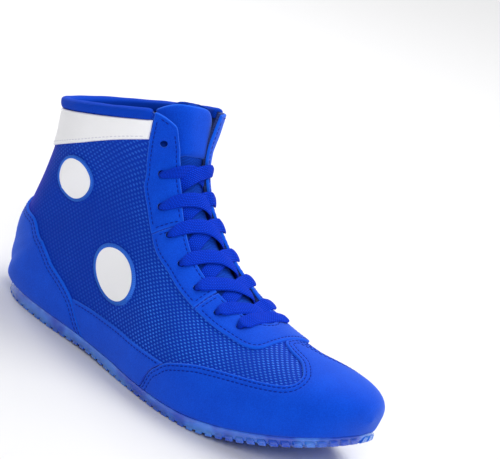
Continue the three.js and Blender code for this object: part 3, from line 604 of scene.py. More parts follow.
    def relief(self, base: Array) -> Array:
        """How far the creases lift the cloth at points of the last: a bell across each line.

        Args:
            base: Points, (..., 3).

        Returns:
            Heights, in millimetres.
        """
        flat = base.reshape(-1, 3)
        total = np.zeros(len(flat))
        for line, fade, crease in self.crease_lines:
            low, high = line.min(0) - 3 * crease.width, line.max(0) + 3 * crease.width
            near = np.all((flat > low) & (flat < high), axis=-1)
            gap = np.linalg.norm(flat[near][:, None] - line[None], axis=-1)
            total[near] -= crease.depth * (np.exp(-((gap / crease.width) ** 2)) * fade).max(axis=1)
        return total.reshape(base.shape[:-1])

    def over(self, rows: Array, around: Array, height: Array | float) -> Array:
        """Points at a height over the bare last.

        Args:
            rows: Row numbers.
            around: How far round each point lies.
            height: Height in millimetres.

        Returns:
            Points, (..., 3).
        """
        return self.points(rows, around) + self.normals(rows, around) * np.asarray(height)[..., None]

    def off(self, rows: Array, around: Array, height: Array | float) -> Array:
        """Points at a height over the creased cloth.

        Args:
            rows: Row numbers.
            around: How far round each point lies.
            height: Height in millimetres.

        Returns:
            Points, (..., 3).
        """
        return self.over(rows, around, np.asarray(height) + self.relief(self.points(rows, around)))

    def seam(self, places: Places, count: int = 400) -> Array:
        """A seam's curve as places, cut into equal lengths on the last, (count, 2).

        Args:
            places: Places that it passes through.
            count: How many places to make.

        Returns:
            Places along the seam.
        """
        fine = catmull(np.array(places, float), np.linspace(0, 1, 600))
        length = run_lengths(self.points(fine[:, 0], fine[:, 1]))
        return table_at(np.linspace(0, length[-1], count), length, fine)

    def moved(self, places: Array, shift: Array) -> Array:
        """The places that lie a shift of millimetres away from the given ones.

        The shift is solved in the plane of the last's two slopes, in three rounds.

        Args:
            places: Where to start, (n, 2).
            shift: How far to go, (n, 3).

        Returns:
            The new places, (n, 2).
        """
        places = np.array(places, float)
        goal = self.points(places[:, 0], places[:, 1]) + shift
        for _ in range(3):
            wanted = goal - self.points(places[:, 0], places[:, 1])
            by_row, by_around = self.slopes(places[:, 0], places[:, 1])
            rr, aa = np.sum(by_row**2, -1), np.sum(by_around**2, -1)
            ra = np.sum(by_row * by_around, -1)
            wr, wa = np.sum(wanted * by_row, -1), np.sum(wanted * by_around, -1)
            scale = np.maximum(rr * aa - ra * ra, 1e-9)
            places[:, 0] += (wr * aa - wa * ra) / scale
            places[:, 1] += (wa * rr - wr * ra) / scale
        return places

    def feather(self, rows: Array, side: Side, margin: float) -> Array:
        """The feather line of one side, moved out level by a margin.

        Args:
            rows: Row numbers.
            side: Which side.
            margin: How far out, in millimetres.

        Returns:
            Points along it.
        """
        at = float(side.value)
        line = self.points(rows, np.full_like(rows, at))
        ahead = self.points(np.minimum(rows + PLACE_STEP, HEEL_ROW), np.full_like(rows, at))
        over = self.points(np.full_like(rows, HEEL_ROW - PLACE_STEP), np.full_like(rows, -at))
        ahead = np.where((rows + PLACE_STEP > HEEL_ROW)[:, None], over, ahead)
        along = ahead - self.points(rows - PLACE_STEP, np.full_like(rows, at))
        out = np.stack([along[:, 1] * at, along[:, 0] * -at, np.zeros_like(rows)], axis=-1)
        return line + unit(out) * margin


@dataclass
class Frame:
    """Where the last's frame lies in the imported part's frame."""

    shift: Array

    @classmethod
    def of_record(cls, record: dict, last: Last) -> Frame:
        """Reads the shift off the mount under the heel, whose place on the last is known.

        Args:
            record: The part's record.
            last: The last.

        Returns:
            The frame.
        """
        mount = next(m for m in record["mounts"] if m["name"] == "tread_heel")
        return cls(np.array(mount["pos_m"]) / MM - np.array([HEEL_MOUNT_SHARE * last.length, 0.0, 0.0]))

    def metres(self, points: Array) -> Array:
        """Millimetres on the last, as metres in the part's frame.

        Args:
            points: Points in millimetres.

        Returns:
            The points in metres.
        """
        return (np.asarray(points) + self.shift) * MM


@dataclass
class Mesh:
    """A piece's vertices in millimetres, its faces, and any cloth places and skins."""

    points: Array
    faces: list[list[int]]
    cloth: list[tuple[float, float]] | None = None
    skins: list[int] | None = None

    @classmethod
    def joined(cls, meshes: Sequence[Mesh]) -> Mesh:
        """Several meshes as one.

        Args:
            meshes: The meshes.

        Returns:
            One mesh, with cloth places if all have them.
        """
        faces, start = [], 0
        for mesh in meshes:
            faces += [[v + start for v in face] for face in mesh.faces]
            start += len(mesh.points)
        has_cloth = all(mesh.cloth is not None for mesh in meshes)
        cloth = [place for mesh in meshes for place in mesh.cloth] if has_cloth else None
        return cls(np.vstack([mesh.points for mesh in meshes]), faces, cloth)

    @classmethod
    def shell(
        cls, outer: Array, inner: Array, keep: Array | None = None, cloth: Array | None = None,
        rim: Skin = Skin.OUTSIDE,
    ) -> Mesh:
        """A closed shell between two grids of matching points, with walls along every open edge.

        Outer points that lie in one place are taken as one, which closes a pole or a seam between
        two sides of a grid, and their inner points go with them.

        Args:
            outer: Outer points, (rows, columns, 3).
            inner: Inner points, the same shape.
            keep: Which cells are there, (rows - 1, columns - 1).
            cloth: Places on the cloth, (rows, columns, 2).
            rim: The skin of the walls.

        Returns:
            The shell, whose inner faces have the inside skin.
        """
        rows, columns = outer.shape[:2]
        total = rows * columns
        index = np.arange(total).reshape(rows, columns)
        quads = np.stack([index[:-1, :-1], index[1:, :-1], index[1:, 1:], index[:-1, 1:]], axis=-1)
        quads = quads.reshape(-1, 4) if keep is None else quads[keep]
        keys = np.round(outer.reshape(-1, 3) * 1000 + 0.317).astype(np.int64)
        _, first, back = np.unique(keys, axis=0, return_index=True, return_inverse=True)
        same = first[back.ravel()]
        faces, corners, skins, open_edges = [], [], [], {}
        for quad in quads.tolist():
            ring = {}
            for corner in quad:
                ring.setdefault(int(same[corner]), corner)
            if len(ring) < 3:
                continue
            outline = list(ring)
            faces.append(outline)
            corners += [ring[v] for v in outline]
            faces.append([v + total for v in reversed(outline)])
            corners += [ring[v] for v in reversed(outline)]
            skins += [Skin.OUTSIDE.value, Skin.INSIDE.value]
            for a, b in zip(outline, outline[1:] + outline[:1]):
                if (b, a) in open_edges:
                    del open_edges[(b, a)]
                else:
                    open_edges[(a, b)] = (ring[a], ring[b])
        for (a, b), (at_a, at_b) in open_edges.items():
            faces.append([b, a, a + total, b + total])
            corners += [at_b, at_a, at_a, at_b]
            skins.append(rim.value)
        places = None if cloth is None else cloth.reshape(-1, 2)[corners].tolist()
        both = np.vstack([outer.reshape(-1, 3), inner.reshape(-1, 3)])
        used = np.unique(np.concatenate([np.array(face) for face in faces]))
        renamed = np.full(len(both), -1)
        renamed[used] = np.arange(len(used))
        return cls(both[used], [renamed[face].tolist() for face in faces], places, skins)

    @classmethod
    def tube(cls, rings: Array, cloth: Array | None = None) -> Mesh:
        """A tube through rings of matching points, with flat ends.

        Args:
            rings: Points, (stations, ring, 3).
            cloth: Places on the cloth, (stations, ring + 1, 2).

        Returns:
            The closed tube.
        """
        stations, size = rings.shape[:2]
        faces, corners = [], []
        for i in range(stations - 1):
            for j in range(size):
                k = (j + 1) % size
                faces.append([i * size + j, (i + 1) * size + j, (i + 1) * size + k, i * size + k])
                corners += [(i, j), (i + 1, j), (i + 1, j + 1), (i, j + 1)]
        for i, ring in ((0, range(size)), (stations - 1, reversed(range(size)))):
            ring = list(ring)
            faces.append([i * size + j for j in ring])
            corners += [(i, j) for j in ring]
        places = None if cloth is None else [tuple(cloth[i, j]) for i, j in corners]
        return cls(rings.reshape(-1, 3), faces, places)


@dataclass
class Workshop:
    """Turns meshes into objects in the part's frame, and hides the CAD parts that they stand for."""

    frame: Frame
    count: int = 0

    def data(self, name: str, mesh: Mesh, materials: Sequence[bpy.types.Material] = ()) -> bpy.types.Mesh:
        """Makes mesh data with its faces turned outwards.

        Args:
            name: The data's name.
            mesh: The shape.
            materials: One for the outside skin, and another for the inside if it has one.

        Returns:
            The data.
        """
        data = bpy.data.meshes.new(name)
        data.from_pydata(self.frame.metres(mesh.points).tolist(), [], mesh.faces)
        if mesh.cloth is not None:
            layer = data.uv_layers.new(name="cloth")
            layer.data.foreach_set("uv", np.array(mesh.cloth, np.float32).ravel())
        for material in materials:
            data.materials.append(material)
        if mesh.skins is not None and len(materials) > 1:
            data.polygons.foreach_set("material_index", np.array(mesh.skins, np.int32))
        work = bmesh.new()
        work.from_mesh(data)
        bmesh.ops.remove_doubles(work, verts=work.verts, dist=2e-6)
        bmesh.ops.recalc_face_normals(work, faces=work.faces)
        work.to_mesh(data)
        work.free()
        return data

    def piece(
        self,
        name: str,
        mesh: Mesh,
        materials: Sequence[bpy.types.Material],
        slot: str,
        replaced: Sequence[str] = (),
        crease: float = 40.0,
        holes: Sequence[Mesh] = (),
    ) -> bpy.types.Object:
        """Makes one piece of the shoe.

        Args:
            name: The object's name.
            mesh: Its shape.
            materials: One for the outside skin, and another for the inside if it has one.
            slot: The record's material slot that its finish belongs to; not used.
            replaced: CAD nodes that it stands for.
            crease: Edges with a sharper turn than this, in degrees, are shaded sharp.
            holes: Bars to cut out of it.

        Returns:
            The object, riding on the root body.
        """
        made = bpy.data.objects.new(name, self.data(name, mesh, materials))
        bpy.context.scene.collection.objects.link(made)
        if holes:
            self.punch(made, Mesh.joined(holes))
        made.data.shade_smooth()
        made.data.set_sharp_from_angle(angle=np.radians(crease))
        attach(made, "root")
        if replaced:
            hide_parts(*replaced)
        self.count += 1
        log.info("%s: %d faces", name, len(made.data.polygons))
        return made

    def punch(self, made: bpy.types.Object, bars: Mesh) -> None:
        """Takes bars away from a piece, for good.

        Args:
            made: The piece.
            bars: What to cut out of it.
        """
        cutter = bpy.data.objects.new("bars", self.data("bars", bars))
        bpy.context.scene.collection.objects.link(cutter)
        modifier = made.modifiers.new("holes", "BOOLEAN")
        modifier.object = cutter
        modifier.operation = "DIFFERENCE"
        modifier.solver = "EXACT"
        evaluated = made.evaluated_get(bpy.context.evaluated_depsgraph_get())
        cut = bpy.data.meshes.new_from_object(evaluated)
        made.modifiers.clear()
        made.data = cut
        bpy.data.objects.remove(cutter)


class Graph:
    """A material's node tree, built in short calls."""

    def __init__(self, name: str) -> None:
        """Starts a material with its shader and output.

        Args:
            name: The material's name.
        """
        self.material = bpy.data.materials.new(name)
        self.material.use_nodes = True
        self.tree = self.material.node_tree
        self.tree.nodes.clear()
        self.shader = self.node("ShaderNodeBsdfPrincipled")
        output = self.node("ShaderNodeOutputMaterial")
        self.tree.links.new(self.shader.outputs[0], output.inputs["Surface"])

    def node(self, kind: str, inputs: dict | None = None, **settings: object) -> bpy.types.Node:
        """Adds a node.

        Args:
            kind: The node's type.
            inputs: For each input's name or number, a value or the socket that feeds it.
            settings: The node's own settings.

        Returns:
            The node.
        """
        made = self.tree.nodes.new(kind)
        for key, value in settings.items():
            setattr(made, key, value)
        for key, value in (inputs or {}).items():
            self.feed(made.inputs[key], value)
        return made

    def feed(self, socket: bpy.types.NodeSocket, value: object) -> None:
        """Links a socket or sets its value.

        Args:
            socket: The input.
            value: A value, or the socket that feeds it.
        """
        if isinstance(value, bpy.types.NodeSocket):
            self.tree.links.new(value, socket)
        elif isinstance(value, tuple) and socket.type == "RGBA":
            socket.default_value = (*value, 1.0)
        else:
            socket.default_value = value

    def look(self, **inputs: object) -> None:
        """Sets the shader's inputs, whose names are written with underscores for spaces.

        Args:
            inputs: A value or a socket for each input.
        """
        for key, value in inputs.items():
            self.feed(self.shader.inputs[key.replace("_", " ")], value)

    def math(self, operation: str, *values: object) -> bpy.types.NodeSocket:
        """One step of arithmetic.

        Args:
            operation: Its name.
            values: Values or sockets.

        Returns:
            The result.
        """
        return self.node("ShaderNodeMath", dict(enumerate(values)), operation=operation).outputs[0]

    def object_place(self) -> bpy.types.NodeSocket:
        """Where a point is on the object, in metres.

        Returns:
            The place.
        """
        return self.node("ShaderNodeTexCoord").outputs["Object"]

    def cloth_place(self) -> tuple[bpy.types.NodeSocket, bpy.types.NodeSocket]:
        """Where a point is on the cloth, in millimetres along and across it.

        Returns:
            Both measures.
        """
        place = self.node("ShaderNodeUVMap", uv_map="cloth").outputs[0]
        split = self.node("ShaderNodeSeparateXYZ", {0: place})
        return split.outputs[0], split.outputs[1]

    def noise(self, scale: float, detail: float = 2.0) -> bpy.types.NodeSocket:
        """Noise from 0 to 1, at a scale in cycles a metre.

        Args:
            scale: Cycles a metre.
            detail: How many finer layers it has.

        Returns:
            The noise.
        """
        inputs = {"Vector": self.object_place(), "Scale": scale, "Detail": detail}
        return self.node("ShaderNodeTexNoise", inputs).outputs[0]

    def mix(self, share: object, low: object, high: object) -> bpy.types.NodeSocket:
        """A color between two others.

        Args:
            share: 0 for the first, 1 for the second.
            low: The first.
            high: The second.

        Returns:
            The color.
        """
        return self.node("ShaderNodeMix", {0: share, 6: low, 7: high}, data_type="RGBA").outputs[2]

    def ramp(
        self, value: object, low: float, high: float, to_low: float = 0.0, to_high: float = 1.0
    ) -> bpy.types.NodeSocket:
        """A value's range from low to high, spread smoothly over another range.

        Args:
            value: What to map.
            low: The range's start.
            high: Its end.
            to_low: What the start becomes.
            to_high: What the end becomes.

        Returns:
            The mapped value.
        """
        inputs = {0: value, 1: low, 2: high, 3: to_low, 4: to_high}
        return self.node("ShaderNodeMapRange", inputs, interpolation_type="SMOOTHSTEP").outputs[0]

    def bump(
        self, height: object, distance: float, strength: float = 1.0, under: object = None
    ) -> bpy.types.NodeSocket:
        """A normal tilted by a height field whose full step is a distance in metres.

        Args:
            height: Heights from 0 to 1.
            distance: The full step, in metres.
            strength: How much of it shows.
            under: A normal to start from.

        Returns:
            The normal.
        """
        inputs = {"Height": height, "Distance": distance, "Strength": strength}
        if under is not None:
            inputs["Normal"] = under
        return self.node("ShaderNodeBump", inputs).outputs[0]


def from_screen(red: float, green: float, blue: float) -> Color:
    """A color as a screen shows it, 0 to 255, as light.

    Args:
        red: The red value.
        green: The green value.
        blue: The blue value.

    Returns:
        The color in linear light.
    """
    values = [v / 255 for v in (red, green, blue)]
    return tuple(v / 12.92 if v <= 0.04045 else ((v + 0.055) / 1.055) ** 2.4 for v in values)


@dataclass(frozen=True)
class Suede:
    """Brushed suede: a matt nap with faint clouds, and a painted highlight along its cut edges."""

    color: Color = from_screen(0, 64, 198)
    brushed: Color = from_screen(6, 84, 226)
    # The cut colour is a painted highlight along the plies' cut edges.
    cut: Color = from_screen(20, 104, 240)
    grain: float = 1500.0
    cloud: float = 70.0
    cloud_share: float = 0.25
    speck_share: float = 0.55
    edge_highlight_share: float = 0.7

    def build(self) -> bpy.types.Material:
        """Makes the material.

        Returns:
            The material.
        """
        g = Graph("suede")
        clouds = g.ramp(g.noise(self.cloud, 4), 0.35, 0.7, 0.0, self.cloud_share)
        nap = g.noise(self.grain, 3)
        speck = g.ramp(nap, 0.3, 0.7, 0.0, self.speck_share)
        tone = g.mix(g.math("ADD", clouds, speck), self.color, self.brushed)
        # Painted highlight: the colour turns towards the cut colour near each free edge.
        edge = g.ramp(g.cloth_place()[0], 0.1, 0.9, self.edge_highlight_share, 0.0)
        g.look(Base_Color=g.mix(edge, tone, self.cut), Roughness=0.95, Specular_IOR_Level=0.1)
        g.look(Sheen_Weight=0.55, Sheen_Roughness=0.5, Sheen_Tint=from_screen(130, 165, 255))
        g.look(Normal=g.bump(nap, 0.00018, 0.8))
        return g.material


@dataclass(frozen=True)
class MeshCloth:
    """Knitted mesh: rows of small lozenges, each staggered from the last, over a dark ground, with a painted
    glint on the lozenges and a painted purple rim light round the heel.
    """

    ground: Color = from_screen(0, 54, 176)
    # The heel colour is a painted purple rim light round the heel.
    heel: Color = from_screen(58, 44, 206)
    # The thread colour is partly the thread's own and partly a painted glint on the lozenges.
    thread: Color = from_screen(48, 126, 245)
    pitch: float = 3.2
    row: float = 3.6
    # Where the lozenges' painted glint is strongest: towards the toe, and high up near the collar.
    toe_glint_zone: tuple[float, float] = (80.0, 160.0)
    collar_glint_zone: tuple[float, float] = (85.0, 112.0)
    heel_zone: tuple[float, float] = (-5.0, 38.0)

    def build(self) -> bpy.types.Material:
        """The material: a lozenge stands where two waves, one each way, are both up or both down.

        The product of the waves is stretched along the first and narrowed along the second.

        Returns:
            The material.
        """
        g = Graph("mesh_cloth")
        along, up = g.cloth_place()
        wave_u = g.math("SINE", g.math("MULTIPLY", along, 2 * np.pi / self.pitch))
        wave_v = g.math("SINE", g.math("MULTIPLY", up, 2 * np.pi / self.row))
        narrow = g.math("MULTIPLY", g.math("MULTIPLY", wave_u, wave_v), g.math("ABSOLUTE", wave_v))
        wide = g.math("MAXIMUM", g.math("ABSOLUTE", wave_u), 0.45)
        lozenge = g.ramp(g.math("DIVIDE", narrow, wide), 0.08, 0.7)
        # Random patches where the lozenges' colour and painted glint are weaker.
        patchy = g.ramp(g.noise(60.0, 2), 0.35, 0.7, 0.6, 1.0)
        # Painted glint: stronger towards the toe and near the collar.
        toe_glint = g.ramp(along, *self.toe_glint_zone, 0.2, 0.95)
        high = g.ramp(up, *self.collar_glint_zone, 0.0, 0.25)
        share = g.math("MULTIPLY", g.math("MULTIPLY", lozenge, patchy), g.math("ADD", toe_glint, high))
        # Painted rim light: the ground turns purple round the heel.
        heel = g.ramp(along, *self.heel_zone, 0.75, 0.0)
        g.look(Base_Color=g.mix(share, g.mix(heel, self.ground, self.heel), self.thread))
        g.look(Roughness=g.ramp(share, 0, 1, 0.8, 0.4), Specular_IOR_Level=0.15)
        g.look(Sheen_Weight=0.22, Sheen_Roughness=0.2, Sheen_Tint=from_screen(110, 60, 255))
        fine = g.bump(g.noise(3000.0, 1), 0.0001, 0.4)
        g.look(Normal=g.bump(lozenge, 0.0005, 0.8, fine))
        return g.material


@dataclass(frozen=True)
class WovenCloth:
    """Woven cloth: ribs across it, with a stitch pattern that flips from rib to rib."""

    name: str
    color: Color
    high: Color
    across: float
    along: float
    depth: float = 0.00015
    roughness: float = 0.8
    sheen: float = 0.2

    def build(self) -> bpy.types.Material:
        """The material: the product of two waves, the second one moved by the first's sign.

        Returns:
            The material.
        """
        g = Graph(self.name)
        along, across = g.cloth_place()
        u = g.math("MULTIPLY", along, 2 * np.pi / self.along)
        wave = g.math("SINE", g.math("MULTIPLY", across, np.pi / self.across))
        flip = g.math("MULTIPLY", g.math("SIGN", wave), 1.2)
        stitch = g.ramp(g.math("SINE", g.math("ADD", u, flip)), -1.0, 1.0, 0.4, 1.0)
        weave = g.math("MULTIPLY", g.math("ABSOLUTE", wave), stitch)
        g.look(Base_Color=g.mix(weave, self.color, self.high), Roughness=self.roughness)
        g.look(Specular_IOR_Level=0.12, Sheen_Weight=self.sheen, Sheen_Roughness=0.5)
        g.look(Sheen_Tint=tuple(min(1.0, 1.3 * c + 0.05) for c in self.high))
        g.look(Normal=g.bump(weave, self.depth, 0.9))
        return g.material


@dataclass(frozen=True)
class Leather:
    """Smooth coated leather with a fine grain."""

    color: Color = from_screen(253, 253, 255)
    roughness: float = 0.5

    def build(self) -> bpy.types.Material:
        """Makes the material.

        Returns:
            The material.
        """
        g = Graph("white_leather")
        cells = g.node("ShaderNodeTexVoronoi", {"Vector": g.object_place(), "Scale": 900.0})
        g.look(Base_Color=self.color, Roughness=self.roughness, Specular_IOR_Level=0.5)
        g.look(Normal=g.bump(cells.outputs["Distance"], 0.00012, 0.4))
        return g.material


@dataclass(frozen=True)
class Rubber:
    """Gum rubber that lets a little light through."""

    color: Color = from_screen(60, 128, 235)
    deep: Color = from_screen(12, 72, 200)

    def build(self) -> bpy.types.Material:
        """Makes the material.

        Returns:
            The material.
        """
        g = Graph("sole_rubber")
        cloud = g.ramp(g.noise(60.0, 2), 0.35, 0.65)
        g.look(Base_Color=g.mix(cloud, self.color, self.deep), Roughness=0.2)
        g.look(Subsurface_Weight=0.35, Subsurface_Scale=0.004, Subsurface_Radius=(0.2, 0.4, 1.0))
        g.look(Coat_Weight=0.6, Coat_Roughness=0.12, Specular_IOR_Level=0.6)
        g.look(Normal=g.bump(g.noise(900.0, 2), 0.00006, 0.5))
        return g.material


@dataclass(frozen=True)
class Plain:
    """A plain matt finish, such as thread or a painted floor."""

    name: str
    color: Color
    roughness: float = 0.7

    def build(self) -> bpy.types.Material:
        """Makes the material.

        Returns:
            The material.
        """
        g = Graph(self.name)
        g.look(Base_Color=self.color, Roughness=self.roughness, Specular_IOR_Level=0.1)
        return g.material


class Finishes:
    """Every material of the shoe, each built once."""

    def __init__(self) -> None:
        """Builds them."""
        self.suede = Suede().build()
        self.mesh = MeshCloth().build()
        self.lace = WovenCloth(
            "lace", from_screen(0, 34, 168), from_screen(0, 72, 232), 1.05, 1.7, 0.0004, 0.9, 0.12
        ).build()
        self.tongue = WovenCloth(
            "tongue_cloth", from_screen(0, 40, 150), from_screen(10, 84, 212), 0.9, 1.5
        ).build()
        self.binding = WovenCloth(
            "binding", from_screen(0, 50, 176), from_screen(4, 80, 220), 0.7, 1.1, 0.0002, 0.9, 0.15
        ).build()
        self.cord = WovenCloth(
            "cord", from_screen(14, 74, 196), from_screen(70, 138, 245), 0.6, 1.2
        ).build()
        # The lining is coloured darker than the shoe's pale lining: the dark colour paints the shade inside
        # the shoe.
        self.lining = WovenCloth(
            "lining", from_screen(34, 50, 104), from_screen(60, 80, 142), 0.8, 1.3
        ).build()
        self.leather = Leather().build()
        self.rubber = Rubber().build()
        self.thread = Plain("thread", from_screen(0, 32, 140), 0.6).build()
        self.white_thread = Plain("white_thread", from_screen(226, 226, 236), 0.6).build()


@dataclass
class Stitching:
    """Rows of thread, sewn beside the edges of plies."""

    last: Last
    pitch: float = 2.9
    length: float = 2.1
    width: float = 0.62
    proud: float = 0.16
    flatness: float = 0.8
    blunt: float = 0.06
    sides: int = 6

    def row(self, line: Array, inside: Array, inset: float, height: float, trim: float) -> Mesh:
        """One row of stitches beside an edge.

        Each stitch is a spindle: rings whose width follows the root of a sine along it.

        Args:
            line: Places along the edge, (n, 2).
            inside: Places a little farther into the ply, one for each of the edge's.
            inset: How far from the edge the row runs.
            height: The groove's floor, over the last.
            trim: Length left bare at both ends.

        Returns:
            The stitches, as one mesh.
        """
        edge = self.last.points(line[:, 0], line[:, 1])
        inner = self.last.points(inside[:, 0], inside[:, 1])
        inward = np.cross(self.last.normals(line[:, 0], line[:, 1]), unit(np.gradient(edge, axis=0)))
        inward *= np.sign(np.sum(inward * (inner - edge)))
        places = self.last.moved(line, inward * inset)
        path = self.last.off(places[:, 0], places[:, 1], height)
        normals = self.last.normals(places[:, 0], places[:, 1])
        length = run_lengths(path)
        room = length[-1] - 2 * trim
        count = max(int(room / self.pitch), 1)
        starts = trim + (room - count * self.pitch) / 2 + np.arange(count) * self.pitch
        share = np.linspace(0, 1, 5)
        at = starts[:, None] + (self.pitch - self.length) / 2 + share * self.length
        where = table_at(at, length, path)
        up = unit(table_at(at, length, normals))
        across = unit(np.cross(where[:, -1:] - where[:, :1], up))
        swell = np.sqrt(np.sin(np.pi * (self.blunt + (1 - 2 * self.blunt) * share)))[None, :, None]
        raised = where + up * self.proud * (swell - 0.5)
        angles = np.arange(self.sides) * 2 * np.pi / self.sides
        half = self.width / 2 * swell
        tall = up * self.flatness
        rings = [raised + (across * np.cos(a) + tall * np.sin(a)) * half for a in angles]
        return Mesh.joined([Mesh.tube(stitch) for stitch in np.stack(rings, axis=2)])


@dataclass(frozen=True)
class PlyShape:
    """How a ply's top surface runs down at its edges and under its stitches."""

    low: float = 0.12
    high: float = SUEDE_HIGH
    roll: float = 1.0
    cut_share: float = 0.5
    groove: float = 0.24
    groove_width: float = 0.75

    def heights(self, gap: Array, insets: Sequence[float]) -> Array:
        """The top's height: a quarter round at the edge and a bell-shaped groove at each inset.

        Args:
            gap: Distances from the nearest edge.
            insets: How far in the stitches run.

        Returns:
            Heights over the last.
        """
        rise = self.cut_share + (1 - self.cut_share) * quarter_round(gap, self.roll)
        height = self.low + (self.high - self.low) * rise
        for inset in insets:
            height = height - self.groove * np.exp(-(((gap - inset) / self.groove_width) ** 2))
        return height


@dataclass
class PlyMaker:
    """Cuts plies between seams and lays them over the last."""

    last: Last
    near: tuple[float, ...] = (0.0, 0.18, 0.42, 0.75, 1.15, 1.7, 2.3, 2.9, 3.6)
    hole_reach: float = 6.0

    def places(self, first: Places, second: Places, long_count: int, cross_count: int) -> Array:
        """A grid of places between two seams, crowded near all four edges.

        Args:
            first: The seam along the grid's first column.
            second: The seam along its last column.
            long_count: Even steps along the seams.
            cross_count: Even steps from seam to seam.

        Returns:
            Places, (along, across, 2).
        """
        a, b = self.last.seam(first), self.last.seam(second)
        middle = (self.last.points(a[:, 0], a[:, 1]) + self.last.points(b[:, 0], b[:, 1])) / 2
        length = run_lengths(middle)
        stations = crowded(length[-1], self.near[:6], long_count)
        a, b = table_at(stations, length, a), table_at(stations, length, b)
        share = np.linspace(0, 1, 61)
        fine = a[:, None] + (b - a)[:, None] * share[None, :, None]
        widths = run_lengths(self.last.points(fine[..., 0], fine[..., 1]), axis=1)
        grid = []
        for start, end, width in zip(a, b, widths):
            t = np.interp(crowded(width[-1], self.near, cross_count), width, share)[:, None]
            grid.append(start + (end - start) * t)
        return np.array(grid)

    def laid(
        self,
        grid: Array,
        edges: Sequence[Array],
        shape: PlyShape,
        insets: Sequence[float] = (),
        holes: Places = (),
    ) -> Mesh:
        """A ply over a grid of places.

        Args:
            grid: Places, (along, across, 2).
            edges: Its free edges, each a line of places.
            shape: Its section.
            insets: How far in from the edges the stitches run.
            holes: Places of punched holes, whose rims are pressed down.

        Returns:
            A closed shell, whose cloth places hold the distance from the nearest free edge.
        """
        rows, around = grid[..., 0], grid[..., 1]
        base = self.last.points(rows, around)
        gap = np.full(base.shape[:-1], FAR)
        for edge in edges:
            gap = np.minimum(gap, gap_to_line(base, resampled(self.last.points(edge[:, 0], edge[:, 1]), 160)))
        height = shape.heights(gap, insets)
        for row, at in holes:
            away = np.linalg.norm(base - self.last.points(row, at), axis=-1)
            height = height - 0.4 * np.exp(-(((away - EYELET_RADIUS) / 1.1) ** 2))
        outer = self.last.off(rows, around, height)
        inner = self.last.off(rows, around, np.full_like(height, shape.low))
        return Mesh.shell(outer, inner, cloth=np.stack([gap, gap], axis=-1))

    def hole(self, place: Place) -> Mesh:
        """A bar square to the last, for punching an eyelet.

        Args:
            place: The eyelet.

        Returns:
            The bar.
        """
        middle = self.last.points(*place)
        up = self.last.normals(*place)
        right = unit(np.cross(up, np.array([0.0, 0.0, 1.0])))
        angle = np.linspace(0, 2 * np.pi, 24, endpoint=False)[:, None]
        ring = (np.cos(angle) * right + np.sin(angle) * np.cross(up, right)) * EYELET_RADIUS
        reach = up * self.hole_reach
        return Mesh.tube(np.stack([middle + ring - reach, middle + ring + reach]))


